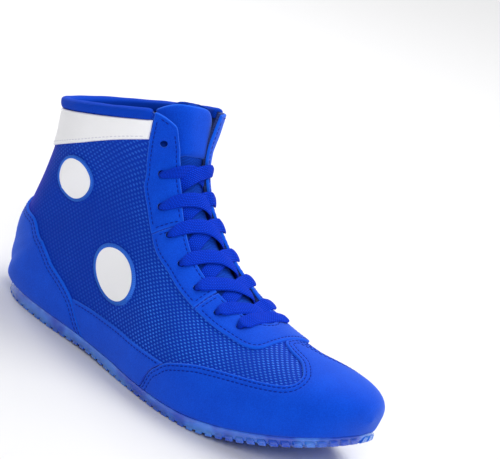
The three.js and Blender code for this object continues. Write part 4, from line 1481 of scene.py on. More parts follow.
@dataclass
class Upper:
    """The mesh upper and the suede plies sewn to it."""

    last: Last
    plies: PlyMaker
    stitching: Stitching
    finishes: Finishes
    workshop: Workshop
    columns: int = 190
    hole_spread: float = 3.0
    edge_inset: float = 2.2
    double_insets: tuple[float, float] = (1.7, 4.2)
    tuck: float = 0.012
    opening: float = 0.25
    top_bow: float = 0.22
    bow_rows: float = 2.5
    vamp_gain: float = 0.7
    vamp_zone: tuple[float, float] = (50.0, 110.0)
    heel_gain: float = 0.5
    heel_zone: tuple[float, float] = (10.0, 60.0)

    def build(self) -> None:
        """Makes the upper, the toe cap, the eyestays, the counter and the side strips."""
        self.wall()
        self.toe_cap()
        for side in Side:
            self.eyestay(side)
            self.side_strip(side)
        self.front_eyestay()
        self.counter()

    def turned(self, places: Places, side: Side) -> Places:
        """A lateral seam, on the side that is wanted.

        Args:
            places: The lateral seam.
            side: The side.

        Returns:
            The seam on that side.
        """
        return places if side is Side.LATERAL else mirrored(places)

    def wall(self) -> None:
        """The mesh wall: a sheet from either feather line to the throat, with eyelet holes."""
        rows = np.concatenate([np.linspace(a, b, n)[:-1] for a, b, n in WALL_BANDS] + [[COLLAR_ROW]])
        end = FRONT_THROAT[-1][0]
        open_share = np.sqrt(np.clip((rows - end) / self.opening, 0, 1))
        (low, _), (_, corner) = EYESTAY_THROAT[0], EYESTAY_REAR[0]
        slope = (corner - throat_at(low, Side.LATERAL)) * np.clip((rows - low) / (COLLAR_ROW - low), 0, 1)
        lateral_edge = (throat_at(rows, Side.LATERAL) - self.tuck) * open_share + slope
        medial_edge = (throat_at(rows, Side.MEDIAL) + self.tuck) * open_share
        half = self.columns // 2
        share = np.linspace(0, 1, half)
        lateral = -1 + (lateral_edge[:, None] + 1) * share
        medial = medial_edge[:, None] + (1 - medial_edge[:, None]) * share
        around = np.hstack([lateral, medial])
        at = np.broadcast_to(rows[:, None], around.shape)
        outer = self.last.off(at, around, 0.0)
        keep = np.ones((len(rows) - 1, around.shape[1] - 1), bool)
        keep[:, half - 1] = False
        middle = (outer[:-1, :-1] + outer[1:, 1:]) / 2
        for row, hole in (*EYELETS, *mirrored(EYELETS)):
            away = np.linalg.norm(middle - self.last.points(row, hole), axis=-1)
            keep &= away > self.hole_spread
        inner = self.last.off(at, around, -WALL)
        # The walls round the eyelet holes and along the throat take the dark lining, which paints the shade
        # there.
        mesh = Mesh.shell(outer, inner, keep, self.cloth(at, around), Skin.INSIDE)
        self.workshop.piece(
            "upper_mesh", mesh, (self.finishes.mesh, self.finishes.lining), "mesh_cloth", ["upper"], 50
        )

    def cloth(self, rows: Array, around: Array) -> Array:
        """Places on the mesh as it was cut, in millimetres along the shoe and up it.

        On the flanks they are x and z. Where a section turns in from its widest point, part of the
        way in is added: to z over the vamp, and taken from x round the heel.

        Args:
            rows: Row numbers.
            around: How far round each point lies.

        Returns:
            Places on the cloth, (rows, columns, 2).
        """
        base = self.last.points(rows, around)
        x, y, z = np.moveaxis(base, -1, 0)
        half = base.shape[1] // 2
        reach = np.abs(y)
        wide = np.hstack([
            np.broadcast_to(part.max(axis=1, keepdims=True), part.shape)
            for part in (reach[:, :half], reach[:, half:])
        ])
        turned = wide - reach
        up = z + self.vamp_gain * smooth_step(x, *self.vamp_zone) * turned
        along = x - self.heel_gain * (1 - smooth_step(x, *self.heel_zone)) * turned
        return np.stack([along, up], axis=-1)

    def sewn(
        self, name: str, grid: Array, edges: Sequence[str], insets: Sequence[float], trim: float
    ) -> None:
        """Adds one piece's stitches.

        Args:
            name: The piece.
            grid: Its grid of places.
            edges: Which of the grid's edges are sewn: left, right, first or last.
            insets: How far in the rows run.
            trim: Length left bare at the ends of each row.
        """
        lines = {
            "left": (grid[:, 0], grid[:, 4]), "right": (grid[:, -1], grid[:, -5]),
            "first": (grid[0], grid[4]), "last": (grid[-1], grid[-5]),
        }
        rows = [
            self.stitching.row(*lines[edge], inset, SUEDE_HIGH - 0.2, trim)
            for edge in edges for inset in insets
        ]
        self.workshop.piece(f"{name}_stitches", Mesh.joined(rows), (self.finishes.thread,), "suede")

    def eyestay(self, side: Side) -> None:
        """The top and middle eyestay pieces of one side, with their holes and stitches.

        Args:
            side: The side.
        """
        throat = EYESTAY_THROAT if side is Side.LATERAL else MEDIAL_THROAT
        eyelets = self.turned(EYELETS, side)
        parts = (
            ("top", self.turned(EYESTAY_REAR, side), throat, eyelets[:3], 120),
            ("middle", self.turned(MIDDLE_REAR, side), self.turned(MIDDLE_THROAT, side), eyelets[3:6], 44),
        )
        for part, rear, edge, holes, steps in parts:
            grid = self.plies.places(rear, edge, steps, 12)
            if part == "top" and side is Side.LATERAL:
                share = np.linspace(0, 1, grid.shape[1])
                fade = 1 - smooth_step(COLLAR_ROW - grid[:, :1, 0], 0, self.bow_rows)
                grid[..., 0] += self.top_bow * np.sin(np.pi * share) * fade
            self.eyestay_ply(f"eyestay_{part}_{side.name.lower()}", grid, holes)

    def eyestay_ply(self, name: str, grid: Array, holes: Places) -> None:
        """One eyestay piece, sewn along all four edges and punched.

        Args:
            name: The piece.
            grid: Its grid of places.
            holes: Its eyelets.
        """
        edges = [grid[:, 0], grid[:, -1], grid[0], grid[-1]]
        mesh = self.plies.laid(grid, edges, PlyShape(), (self.edge_inset,), holes)
        bars = [self.plies.hole(place) for place in holes]
        self.workshop.piece(name, mesh, (self.finishes.suede,), "suede", [name], holes=bars)
        self.sewn(name, grid, ("left", "right", "first", "last"), (self.edge_inset,), 3.0)

    def front_eyestay(self) -> None:
        """The piece that joins both eyestays round the throat's front end."""
        grid = self.plies.places(both_sides(FRONT_OUTER), both_sides(FRONT_THROAT), 96, 10)
        self.eyestay_ply("eyestay_front", grid, (*EYELETS[6:], *mirrored(EYELETS)[6:]))

    def toe_cap(self) -> None:
        """The toe cap: from its rear seam in to the toe's tip, and down to the feather line."""
        seam = self.last.seam(both_sides(TOE_CAP_REAR), 260)
        foot = np.stack([np.zeros(len(seam)), np.linspace(-1, 1, len(seam))], axis=-1)
        t = np.concatenate([np.linspace(0, 0.9, 56)[:-1], 1 - np.linspace(0.1, 0, 30)])
        grid = foot[:, None] + (seam - foot)[:, None] * t[None, :, None]
        mesh = self.plies.laid(grid, [seam], PlyShape(), self.double_insets)
        self.workshop.piece("toe_cap", mesh, (self.finishes.suede,), "suede", ["toe_cap"])
        self.sewn("toe_cap", grid, ("right",), self.double_insets, 3.0)

    def counter(self) -> None:
        """The heel counter, from the feather line up to its seam and round the heel."""
        top, foot = self.last.seam(COUNTER_TOP, 150), self.last.seam(COUNTER_FEATHER, 150)
        t = np.concatenate([np.linspace(0, 0.9, 26)[:-1], 1 - np.linspace(0.1, 0, 16)])
        lateral = foot[:, None] + (top - foot)[:, None] * t[None, :, None]
        medial = lateral[-2::-1].copy()
        ahead_of_heel = medial[..., 0] < HEEL_ROW
        medial[..., 1] = np.where(ahead_of_heel, -medial[..., 1], -2 - medial[..., 1])
        grid = np.vstack([lateral, medial])
        mesh = self.plies.laid(grid, [grid[:, -1]], PlyShape(), self.double_insets)
        self.workshop.piece("heel_counter", mesh, (self.finishes.suede,), "suede", ["heel_counter"])
        self.sewn("heel_counter", grid, ("right",), self.double_insets, 4.0)

    def side_strip(self, side: Side) -> None:
        """The low strip between the counter and the toe cap, drawn through three seams.

        Args:
            side: The side.
        """
        seams = [self.last.seam(self.turned(seam, side), 40) for seam in STRIP_SEAMS]
        grid = catmull(np.stack(seams), np.linspace(0, 1, 110))
        name = f"side_strip_{side.name.lower()}"
        mesh = self.plies.laid(grid, [grid[:, -1]], PlyShape(), self.double_insets[:1])
        self.workshop.piece(name, mesh, (self.finishes.suede,), "suede", [name])
        self.sewn(name, grid, ("right",), self.double_insets[:1], 3.0)


@dataclass
class Collar:
    """The white band and the padded binding round the collar."""

    last: Last
    plies: PlyMaker
    stitching: Stitching
    finishes: Finishes
    workshop: Workshop
    depth: float = 4.2
    crown: float = 2.2
    half_width: float = 3.6
    band_gap: float = 0.7
    front_gap: float = 0.004
    inset: float = 2.0
    square_points: int = 50
    band_roll: float = 0.9
    band_groove: float = 0.16
    end_round: float = 5.0

    def build(self) -> None:
        """Makes the band, its stitches and the binding."""
        low = self.last.seam(round_heel(BAND_LOWER), 300)
        rim = self.last.points(np.full(len(low), COLLAR_ROW), low[:, 1])
        under = self.last.points(np.full(len(low), COLLAR_ROW - 0.5), low[:, 1])
        fall = np.linalg.norm(rim - under, axis=-1) / 0.5
        high = np.stack([COLLAR_ROW - (self.depth + self.band_gap) / fall, low[:, 1]], axis=-1)
        edge = np.array([0, 0.03, 0.08, 0.14, 0.2])
        t = np.concatenate([edge, np.linspace(0.28, 0.72, 9), 1 - edge[::-1]])
        grid = low[:, None] + (high - low)[:, None] * t[None, :, None]
        rear = np.array(EYESTAY_REAR)[::-1]
        stretch = np.interp(grid[0, :, 0], rear[:, 0], rear[:, 1]) - self.front_gap - grid[0, :, 1]
        fade = 1 - smooth_step(np.arange(len(low)), 0, self.square_points)
        grid[..., 1] += stretch * (fade - fade[::-1])[:, None]
        shape = PlyShape(high=BAND_HIGH, roll=self.band_roll, groove=self.band_groove)
        edges = [grid[:, 0], grid[:, -1], grid[0], grid[-1]]
        mesh = self.plies.laid(grid, edges, shape, (self.inset,))
        self.workshop.piece("collar_band", mesh, (self.finishes.leather,), "white_leather", ["collar_band"])
        row = self.stitching.row(grid[:, 0], grid[:, 4], self.inset, BAND_HIGH - 0.15, 2.0)
        self.workshop.piece(
            "collar_band_stitches", row, (self.finishes.white_thread,), "white_leather"
        )
        self.binding()

    def binding(self) -> None:
        """The padded roll folded over the rim.

        Its section is a thick U: up the outside, over the rim in half an ellipse, down the inside
        and back along the wall. It thins at both ends, and soft waves run along it.
        """
        rim = self.last.seam(round_heel(BINDING_RIM), 260)
        edge = self.last.points(rim[:, 0], rim[:, 1])
        up = unit(edge - self.last.points(rim[:, 0] - PLACE_STEP, rim[:, 1]))
        out = self.last.normals(rim[:, 0], rim[:, 1])
        length = run_lengths(edge)
        ends = quarter_round(np.minimum(length, length[-1] - length), self.end_round)
        waves = 1 + 0.04 * np.sin(length / 6.3) + 0.03 * np.sin(length / 2.9 + 1.3)
        swell = (0.35 + 0.65 * ends) * waves
        leg = np.linspace(1, 0, 9)
        arc = np.linspace(0, np.pi, 19)[1:-1]
        leg_across = self.half_width * (1 - 0.3 * leg**2.5)
        across = np.concatenate([leg_across, self.half_width * np.cos(arc), -leg_across[::-1]])
        rise = np.concatenate([-self.depth * leg, self.crown * np.sin(arc), -self.depth * leg[::-1]])
        wall = WALL / 2 + 0.1
        inner = np.array([[-wall, -self.depth], [-wall, 0.12], [wall, 0.12], [wall, -self.depth]])
        wide = np.hstack([across * swell[:, None], np.tile(inner[:, 0], (len(rim), 1))]) - WALL / 2
        high = np.hstack([
            np.where(rise > 0, rise * swell[:, None], rise), np.tile(inner[:, 1], (len(rim), 1)),
        ])
        rings = edge[:, None] + out[:, None] * wide[..., None] + up[:, None] * high[..., None]
        girth = run_lengths(np.concatenate([rings[130], rings[130, :1]]))
        cloth = np.stack(np.broadcast_arrays(length[:, None], girth[None]), axis=-1)
        made = self.workshop.piece(
            "collar_binding", Mesh.tube(rings, cloth), (self.finishes.binding,), "binding",
            ["collar_binding"], 60,
        )


@dataclass
class Tongue:
    """The padded tongue: woven cloth below, with a suede panel sewn over its upper part."""

    last: Last
    finishes: Finishes
    workshop: Workshop
    lean: float = 4.0
    thickness: float = 3.0
    crown: float = -2.4
    flank: float = -4.3
    skew: float = 0.04
    dome: tuple[float, float] = (8.0, 20.0)
    dome_rows: tuple[float, float] = (16.5, 20.6)
    peak: float = -0.1
    rim_round: float = 2.6
    rim_share: float = 0.12
    quilting: float = 0.12
    tip_rise: float = 0.35
    panel_row: float = 20.25
    panel_bow: float = 0.3
    panel_reach: float = 0.31
    panel_width: float = 0.86
    panel_low: float = 0.1
    panel_high: float = 1.7
    panel_round: float = 4.0
    panel_sunk: float = 0.5

    def top(self, rows: Array, around: Array) -> Array:
        """The cloth's height: highest on the crown, and leaning back towards the collar.

        Args:
            rows: Row numbers.
            around: How far round each point lies.

        Returns:
            Heights over the last.
        """
        lean = self.lean * np.clip((rows - HEEL_ROW) / (COLLAR_ROW - HEEL_ROW), 0, None) ** 2
        side = smooth_step(np.abs(around), 0.04, 0.2)
        return self.crown + (self.flank - self.crown) * side - lean

    def domed(self, rows: Array, around: Array) -> tuple[Array, Array]:
        """Places moved to shape the top: a parabola over a crown on the lateral side.

        Args:
            rows: Row numbers.
            around: How far round each point lies.

        Returns:
            The moved rows and arounds.
        """
        high = smooth_step(rows, *self.dome_rows)
        around = around - self.skew * high
        fall = np.where(around < self.peak, *self.dome)
        return rows - fall * (around - self.peak) ** 2 * high, around

    def rim_gap(self, base: Array) -> Array:
        """How far each point of a grid is from the grid's own rim.

        Args:
            base: The grid's points.

        Returns:
            Distances, in millimetres.
        """
        rim = np.concatenate([base[:, 0], base[-1], base[::-1, -1], base[0, ::-1]])
        return gap_to_line(base, resampled(rim, 240))

    def build(self) -> None:
        """Makes the tongue as one padded sheet with rounded edges, and the panel over it."""
        line = self.last.seam(TONGUE_EDGE, 170)
        share = np.sin(np.linspace(-np.pi / 2, np.pi / 2, 64))
        around = line[:, None, 1] * -share[None]
        at_top = smooth_step(line[:, None, 0], 19.2, 20.3)
        rows = line[:, None, 0] + self.tip_rise * (1 - share**2) * at_top
        rows, around = self.domed(rows, around)
        base = self.last.points(rows, around)
        round_edge = quarter_round(self.rim_gap(base), self.rim_round)
        half = self.thickness / 2 * (self.rim_share + (1 - self.rim_share) * round_edge)
        middle = self.top(rows, around) - self.thickness / 2
        quilt = self.quilting * np.sin(base[..., 0] / 5.0) * np.sin(base[..., 2] / 6.0)
        cloth = np.stack([run_lengths(base, 1), run_lengths(base, 0)], axis=-1)
        outer = self.last.over(rows, around, middle + half + quilt)
        mesh = Mesh.shell(outer, self.last.over(rows, around, middle - half), cloth=cloth)
        made = self.workshop.piece(
            "tongue", mesh, (self.finishes.tongue,), "tongue_cloth", ["tongue"], 60
        )
        self.panel()

    def panel(self) -> None:
        """The suede panel over the tongue's upper part."""
        low = self.last.seam(TONGUE_PANEL_LOW, 70)
        t = np.concatenate([[0, 0.01, 0.025, 0.05], np.linspace(0.08, 0.94, 46), [0.96, 0.975, 0.99, 1]])
        bow = np.sqrt(np.clip(1 - (low[:, 1] / self.panel_reach) ** 2, 0, 1))
        top_row = self.panel_row + self.panel_bow * bow
        around = self.panel_width * low[:, 1, None] * np.ones(len(t))[None]
        rows, around = self.domed(low[:, 0, None] + (top_row - low[:, 0])[:, None] * t, around)
        gap = self.rim_gap(self.last.points(rows, around))
        top = self.top(rows, around)
        rise = self.panel_high * quarter_round(gap, self.panel_round)
        outer = self.last.over(rows, around, top + self.panel_low + rise)
        inner = self.last.over(rows, around, top - self.panel_sunk)
        mesh = Mesh.shell(outer, inner, cloth=np.stack([gap, gap], axis=-1))
        self.workshop.piece("tongue_panel", mesh, (self.finishes.suede,), "suede")


@dataclass
class Lacing:
    """The flat lace, which comes up through each eyelet, crosses and dives under the far eyestay."""

    last: Last
    finishes: Finishes
    workshop: Workshop
    width: float = 9.2
    thickness: float = 1.5
    beneath: float = -3.3
    stations: int = 72
    sides: int = 22
    squareness: float = 0.75
    hollow: float = 0.25

    def build(self) -> None:
        """Makes every strand."""
        laced = EYELETS[FIRST_LACED:]
        across = mirrored(laced)
        strands = [self.bar(laced[-1], across[-1])]
        for k in range(len(laced) - 1):
            strands.append(self.strand(laced[k], across[k + 1], over=k > 0))
            strands.append(self.strand(across[k], laced[k + 1], over=k == 0))
        self.workshop.piece("lace", Mesh.joined(strands), (self.finishes.lace,), "lace", ["lace"], 50)

    def rise(self) -> list[tuple[float, float, float, float]]:
        """How the lace comes up through an eyelet, as share, height, width and thickness.

        Returns:
            The table's rows, in order.
        """
        return [
            # share, height, width, thickness
            (0.0, self.beneath, 0.36, 1.9), (0.0, -0.6, 0.36, 1.9), (0.002, 1.7, 0.4, 1.7),
            (0.02, 3.3, 0.55, 1.4), (0.055, 3.3, 0.84, 1.1), (0.12, 2.75, 1.0, 1.0),
        ]

    def strand(self, start: Place, end: Place, over: bool) -> Mesh:
        """One run of lace from an eyelet to beneath the next one on the far side.

        Args:
            start: The eyelet that it comes up through.
            end: The eyelet that it goes to.
            over: Whether it lies over the strand that it crosses.

        Returns:
            The run, with its place along and across the lace as its cloth.
        """
        side, far = (Side.LATERAL, Side.MEDIAL) if start[1] < 0 else (Side.MEDIAL, Side.LATERAL)
        near_edge, far_edge = (
            float(throat_at(row, which) - start[1]) / (end[1] - start[1])
            for row, which in ((start[0], side), (end[0], far))
        )
        keys = self.rise() + [
            # share, height, width, thickness
            (near_edge - 0.01, 2.6, 1.0, 1.0),
            (near_edge + 0.09, 1.5 if over else 0.6, 1.0, 1.0),
            ((near_edge + far_edge) / 2, 1.15 if over else -0.75, 1.0, 1.0),
            (far_edge - 0.11, 0.1 if over else -1.0, 1.0, 1.0),
            (far_edge - 0.045, -1.5, 1.0, 1.0),
            (far_edge + 0.01, -2.9, 1.0, 0.9),
            (far_edge + 0.06, self.beneath, 0.95, 0.85),
            (1.0, self.beneath - 0.3, 0.5, 1.2),
        ]
        return self.swept(start, end, np.array(keys))

    def bar(self, start: Place, end: Place) -> Mesh:
        """The straight run between the lowest eyelets, which goes down through both of them.

        Args:
            start: One eyelet.
            end: The other one.

        Returns:
            The run.
        """
        half = self.rise() + [(0.26, 2.5, 1.0, 1.0), (0.4, 1.5, 1.0, 1.0)]
        back = [(1 - share, *rest) for share, *rest in reversed(half)]
        return self.swept(start, end, np.array(half + [(0.5, 1.3, 1.0, 1.0)] + back))

    def swept(self, start: Place, end: Place, keys: Array) -> Mesh:
        """A flat band through a table of share, height, width and thickness.

        Its section is a flat superellipse, hollowed a little across its face.

        Args:
            start: Where share 0 lies.
            end: Where share 1 lies.
            keys: The table.

        Returns:
            The band.
        """
        fine = catmull(keys, np.linspace(0, 1, 400))
        share = np.clip(fine[:, :1], 0, 1)
        places = np.array(start) + (np.array(end) - np.array(start)) * share
        path = self.last.off(places[:, 0], places[:, 1], fine[:, 1])
        length = run_lengths(path)
        even = np.linspace(0, length[-1], self.stations)
        path, fine, places = (table_at(even, length, table) for table in (path, fine, places))
        normals = self.last.normals(places[:, 0], places[:, 1])
        along = unit(np.gradient(path, axis=0))
        across = unit(np.cross(unit(path[-1] - path[0])[None], normals))
        up = unit(np.cross(across, along))
        angle = np.linspace(0, 2 * np.pi, self.sides, endpoint=False)
        flat, tall = (
            np.sign(wave) * np.abs(wave) ** self.squareness for wave in (np.cos(angle), np.sin(angle))
        )
        wide, thick = fine[:, 2, None], fine[:, 3, None]
        hollow = self.hollow * (flat**2 - 0.5) * np.clip(wide - 0.6, 0, 1)
        rings = path[:, None] + across[:, None] * (flat * self.width / 2 * wide)[..., None]
        rings = rings + up[:, None] * (tall * self.thickness / 2 * thick - hollow)[..., None]
        girth = np.append(flat, flat[0]) * self.width / 2
        cloth = np.stack(np.broadcast_arrays(even[:, None], girth[None]), axis=-1)
        return Mesh.tube(rings, cloth)


@dataclass
class Badges:
    """Two plain leather badges on the lateral side, each with a corded edge."""

    last: Last
    plies: PlyMaker
    finishes: Finishes
    workshop: Workshop
    cord: float = 2.2
    cord_high: float = 1.9

    def disc(self, place: Place, size: tuple[float, float], tilt: float, radius: Array) -> Array:
        """A polar grid of places: an ellipse laid on the last round a place.

        Args:
            place: Its middle.
            size: Its two widths.
            tilt: How far the first width is turned from level, in radians.
            radius: Shares of the half widths, from the middle outwards.

        Returns:
            Places, (angles, radii, 2).
        """
        angle = np.linspace(0, 2 * np.pi, 97)
        normal = self.last.normals(*place)
        level = unit(np.cross(np.array([0.0, 0.0, 1.0]), normal))
        level = level * np.sign(level[0])
        uphill = np.cross(normal, level)
        uphill = uphill * np.sign(uphill[2])
        right = np.cos(angle)[:, None] * radius * size[0] / 2
        up = np.sin(angle)[:, None] * radius * size[1] / 2
        x = right * np.cos(tilt) - up * np.sin(tilt)
        y = right * np.sin(tilt) + up * np.cos(tilt)
        shift = (x[..., None] * level + y[..., None] * uphill).reshape(-1, 3)
        start = np.tile(np.array(place, float), (len(shift), 1))
        return self.last.moved(start, shift).reshape(len(angle), len(radius), 2)

    def build(self) -> None:
        """Makes the round and the oval badge."""
        for name, place, size, tilt in BADGES:
            within = 1 - 0.5 * self.cord / (max(size) / 2)
            radius = np.concatenate([np.linspace(0, 0.8, 12)[:-1], np.linspace(0.8, within, 8)])
            grid = self.disc(place, size, tilt, radius)
            shape = PlyShape(low=0.1, high=BADGE_HIGH, roll=0.8, groove=0.0)
            mesh = self.plies.laid(grid, [grid[:, -1]], shape)
            self.workshop.piece(name, mesh, (self.finishes.leather,), "white_leather", [name])
            self.edge(name, place, size, tilt)

    def edge(self, name: str, place: Place, size: tuple[float, float], tilt: float) -> None:
        """The cord round a badge: half a circle over its rim, with thread wound across it.

        Args:
            name: The badge.
            place: Its middle.
            size: Its two widths.
            tilt: Its turn from level, in radians.
        """
        inner = 1 - self.cord / (min(size) / 2)
        share = (1 - np.cos(np.linspace(0, np.pi, 13))) / 2
        grid = self.disc(place, size, tilt, inner + (1 - inner) * share)
        rows, around = grid[..., 0], grid[..., 1]
        rise = np.sin(np.linspace(0, np.pi, 13)) ** 0.8
        outer = self.last.off(rows, around, 0.15 + (self.cord_high - 0.15) * rise + 0 * rows)
        base = self.last.points(rows, around)
        cloth = np.stack([run_lengths(base, 1), run_lengths(base, 0)], axis=-1)
        mesh = Mesh.shell(outer, self.last.off(rows, around, 0.12 + 0 * rows), cloth=cloth)
        self.workshop.piece(f"{name}_edge", mesh, (self.finishes.cord,), "white_leather", crease=70)


@dataclass
class Sole:
    """The rubber outsole with its lugs, bars and pads, and the insole in the shoe."""

    last: Last
    finishes: Finishes
    workshop: Workshop
    margin: float = 1.0
    top_gap: float = 0.35
    lug_depth: float = 2.6
    web_gap: float = 1.4
    rib: float = 0.5
    toe_rib: float = 0.9
    toe_lean: float = 0.6
    lug_pitch: float = 6.5
    lug_width: float = 4.9
    bar_width: float = 7.0
    lug_length: float = 13.0
    toe_sole: float = 4.8
    toe_start: float = 0.7
    toe_span: float = 0.3
    arch_lift: float = 1.6
    arch_start: float = 0.25
    arch_span: float = 0.25
    heel_bevel: float = 2.5
    bevel_span: float = 0.075
    slant: float = 0.45
    lug_root: float = 3.9
    ring_pitch: float = 4.5
    ring_inset: float = 3.5
    ring_deep: float = 0.9
    insole_thickness: float = 3.0
    stations: int = 220

    def tread(self, x: Array) -> Array:
        """How high the tread lies: flat under heel and ball, up at the toe, arch and back.

        Args:
            x: Distances from the heel's back.

        Returns:
            Heights over the floor.
        """
        along = x / self.last.length
        rise = self.last.toe_spring + self.last.sole_thickness - self.toe_sole
        toe = rise * np.clip((along - self.toe_start) / self.toe_span, 0, None) ** 1.5
        back = self.heel_bevel * np.clip(1 - along / self.bevel_span, 0, None) ** 2
        in_arch = np.clip((along - self.arch_start) / self.arch_span, 0, 1)
        arch = self.arch_lift * np.sin(np.pi * in_arch) ** 2
        return toe + back + arch

    def slab(self, margin: float, top: float, on_tread: bool, roll: float) -> Mesh:
        """A flat slab inside the feather line, with a rounded edge.

        Args:
            margin: How far past the feather line it reaches.
            top: Its top's height over the feather line.
            on_tread: Whether its underside follows the lugs' tops, and not the feather line.
            roll: How far its edge bows out.

        Returns:
            The slab, as rings from toe to heel.
        """
        rows = (1 - np.cos(np.linspace(0, np.pi, self.stations))) / 2 * HEEL_ROW
        lines, outward = {}, {}
        for side in Side:
            lines[side] = self.last.feather(rows, side, margin)
            outward[side] = self.last.feather(rows, side, margin + 1) - lines[side]
        left, right = lines[Side.LATERAL], lines[Side.MEDIAL]
        across = left[:, None] + (right - left)[:, None] * np.linspace(0, 1, 13)[None, :, None]
        high, low = across.copy(), across[:, ::-1].copy()
        high[..., 2] += top
        low[..., 2] = self.tread(low[..., 0]) + self.web_gap if on_tread else low[..., 2] + 0.05
        angle = np.linspace(0, np.pi, 9)[1:-1]
        fall = ((1 - np.cos(angle)) / 2)[None, :, None]
        bulge = (roll * np.sin(angle) ** 0.7)[None, :, None]
        medial = high[:, -1:] + (low[:, :1] - high[:, -1:]) * fall + outward[Side.MEDIAL][:, None] * bulge
        lateral = low[:, -1:] + (high[:, :1] - low[:, -1:]) * fall + outward[Side.LATERAL][:, None] * bulge
        return Mesh.tube(np.concatenate([high, medial, low, lateral], axis=1))

    def block(self, corners: Array, lean: Array | float = 0.0) -> Mesh:
        """A lug: a rounded block from the tread up into the web.

        Args:
            corners: Its four corners in plan.
            lean: How far it leans over for each millimetre of height.

        Returns:
            The block.
        """
        ahead = np.roll(corners, -1, axis=0) - corners
        share = np.array([0.08, 0.5, 0.92])[None, :, None]
        outline = (corners[:, None] + ahead[:, None] * share).reshape(-1, 3)
        middle = corners.mean(0)
        profile = (
            # height, share of the outline
            (0.0, 0.88), (0.35, 0.96), (0.9, 1.0), (self.lug_depth, 1.0), (self.lug_root, 0.92),
        )
        rings = []
        for lift, share in profile:
            ring = middle + (outline - middle) * share + lean * np.ones(3) * lift
            ring[:, 2] = self.tread(ring[:, 0]) + lift
            rings.append(ring)
        return Mesh.tube(np.array(rings))

    def pad(self, x: float, y: float, radius: float) -> Mesh:
        """A round pad with ring grooves in its face.

        Args:
            x: Its middle along the shoe.
            y: Its middle across the shoe.
            radius: Its radius.

        Returns:
            The pad.
        """
        angle = np.linspace(0, 2 * np.pi, 64, endpoint=False)
        circle = np.stack([np.cos(angle), np.sin(angle), np.zeros_like(angle)], axis=-1)
        profile = [(radius, self.lug_depth + 0.8), (radius, 0.5), (radius - 0.5, 0.0)]
        deep = self.ring_deep
        for ring in np.arange(radius - self.ring_inset, 3.0, -self.ring_pitch):
            profile += [(ring + 0.5, 0.0), (ring, deep), (ring - 1.0, deep), (ring - 1.5, 0.0)]
        return Mesh.tube(np.array([circle * r + np.array([x, y, h]) for r, h in profile]))

    def edge_lugs(self, side: Side) -> list[Mesh]:
        """The slanted lugs along one side's edge, evenly spaced.

        Args:
            side: The side.

        Returns:
            The lugs.
        """
        line = self.last.feather(np.linspace(0, HEEL_ROW, 1400), side, self.margin + self.rib)
        line[:, 2] = 0
        length = run_lengths(line)
        starts = np.arange(self.lug_pitch / 2, length[-1], self.lug_pitch)
        here, ahead = table_at(starts, length, line), table_at(starts + 1, length, line)
        along = unit(ahead - here)
        inward = np.stack([along[:, 1], -along[:, 0], np.zeros(len(along))], axis=-1) * -side.value
        slanted = unit(inward + self.slant * along) * self.lug_length
        at_toe = smooth_step(here[:, :1] / self.last.length, 0.72, 0.9)
        here = here - inward * self.toe_rib * at_toe
        near, far = here - along * self.lug_width / 2, here + along * self.lug_width / 2
        corners = np.stack([near, far, far + slanted, near + slanted], axis=1)
        return [self.block(*pair) for pair in zip(corners, along * self.toe_lean * at_toe)]

    def build(self) -> None:
        """Makes the outsole as one piece, and the insole."""
        parts = [self.slab(self.margin, -self.top_gap, True, 0.7)]
        parts += self.edge_lugs(Side.LATERAL) + self.edge_lugs(Side.MEDIAL)
        for along, centre, span in TREAD_BARS:
            x, y = along * self.last.length, centre * self.last.ball_width
            half, reach = self.bar_width / 2, span * self.last.ball_width / 2
            signs = np.array([(-1, -1), (1, -1), (1, 1), (-1, 1)])
            corners = np.column_stack([x + signs[:, 0] * half, y + signs[:, 1] * reach, np.zeros(4)])
            parts.append(self.block(corners))
        for along, centre, radius in TREAD_PADS:
            parts.append(self.pad(along * self.last.length, centre * self.last.ball_width, radius))
        self.workshop.piece(
            "outsole", Mesh.joined(parts), (self.finishes.rubber,), "sole_rubber", ["outsole"], 35
        )
        insole = self.slab(-WALL - 1.0, self.insole_thickness, False, 0.3)
        # The insole takes the dark lining, which paints the shade inside the shoe.
        self.workshop.piece("insole", insole, (self.finishes.lining,), "lining", ["insole"])


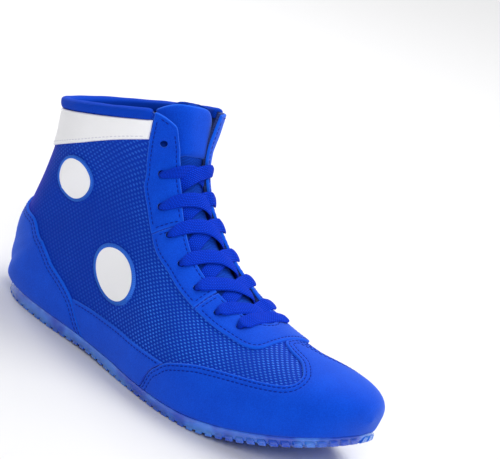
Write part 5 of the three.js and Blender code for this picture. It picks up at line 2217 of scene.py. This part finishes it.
@dataclass
class Studio:
    """The floor, the lights and the camera."""

    frame: Frame
    azimuth: float = 39.8
    elevation: float = 18.8
    roll: float = 16.2
    distance: float = 1300.0
    pivot: tuple[float, float, float] = (142.0, 0.0, 60.0)
    pivot_offset: tuple[float, float] = (-0.0242, -0.0244)
    lens: float = 159.4
    floor_half: float = 6.0
    floor_color: Color = from_screen(232, 232, 233)
    floor_roughness: float = 0.85
    sky_strength: float = 0.32

    def camera(self) -> None:
        """Places the camera on a sphere round the pivot, rolled, with the pivot off its centre."""
        a, e, r = np.radians([self.azimuth, self.elevation, self.roll])
        right = np.array([np.cos(a), np.sin(a), 0.0])
        back = np.array([np.sin(a) * np.cos(e), -np.cos(a) * np.cos(e), np.sin(e)])
        up = np.cross(back, right)
        rolled = np.cos(r) * right + np.sin(r) * up
        rolled_up = -np.sin(r) * right + np.cos(r) * up
        across, down = self.pivot_offset
        z = unit(back + across * rolled + down * rolled_up)
        x = rolled - across * back
        x = unit(x - z * (x @ z))
        data = bpy.data.cameras.new("camera")
        data.lens, data.sensor_width = self.lens, 36.0
        data.clip_start, data.clip_end = 0.05, 60.0
        made = bpy.data.objects.new("camera", data)
        bpy.context.scene.collection.objects.link(made)
        matrix = np.eye(4)
        matrix[:3, :3] = np.stack([x, np.cross(z, x), z], axis=-1)
        matrix[:3, 3] = self.frame.metres(np.array(self.pivot) + back * self.distance)
        made.matrix_world = Matrix(matrix.tolist())
        bpy.context.scene.camera = made

    def light(
        self, name: str, place: Triple, size: tuple[float, float], power: float, aim: Triple
    ) -> None:
        """Adds a soft rectangular light.

        Args:
            name: Its name.
            place: Where it hangs, in metres.
            size: Its two widths, in metres.
            power: Its power, in watts.
            aim: The point that it faces.
        """
        data = bpy.data.lights.new(name, "AREA")
        data.shape = "RECTANGLE"
        data.size, data.size_y = size
        data.energy = power
        made = bpy.data.objects.new(name, data)
        bpy.context.scene.collection.objects.link(made)
        made.location = place
        made.rotation_mode = "QUATERNION"
        made.rotation_quaternion = (Vector(aim) - Vector(place)).to_track_quat("-Z", "Y")
        made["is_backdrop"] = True

    def build(self) -> None:
        """Makes the floor, the white surroundings, the lights and the camera."""
        half = self.floor_half
        corners = [(-half, -half, 0), (half, -half, 0), (half, half, 0), (-half, half, 0)]
        data = bpy.data.meshes.new("floor")
        data.from_pydata(corners, [], [[0, 1, 2, 3]])
        data.materials.append(Plain("floor", self.floor_color, self.floor_roughness).build())
        floor = bpy.data.objects.new("floor", data)
        bpy.context.scene.collection.objects.link(floor)
        floor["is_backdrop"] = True
        world = bpy.data.worlds.new("studio")
        world.use_nodes = True
        sky = world.node_tree.nodes["Background"]
        sky.inputs[0].default_value = (1.0, 1.0, 1.0, 1.0)
        sky.inputs[1].default_value = self.sky_strength
        bpy.context.scene.world = world
        for light in LIGHTS:
            self.light(*light)
        self.camera()


def main() -> None:
    """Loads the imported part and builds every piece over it."""
    logging.basicConfig(level=logging.INFO)
    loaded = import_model()
    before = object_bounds()
    bpy.context.scene.view_settings.view_transform = "Standard"
    last = Last()
    frame = Frame.of_record(loaded["record"], last)
    workshop, finishes = Workshop(frame), Finishes()
    plies, stitching = PlyMaker(last), Stitching(last)
    Sole(last, finishes, workshop).build()
    Upper(last, plies, stitching, finishes, workshop).build()
    Collar(last, plies, stitching, finishes, workshop).build()
    Tongue(last, finishes, workshop).build()
    Lacing(last, finishes, workshop).build()
    Badges(last, plies, finishes, workshop).build()
    Studio(frame).build()
    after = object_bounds()
    log.info("%d pieces; box before %s, after %s", workshop.count, before, after)


if __name__ == "__main__":
    main()
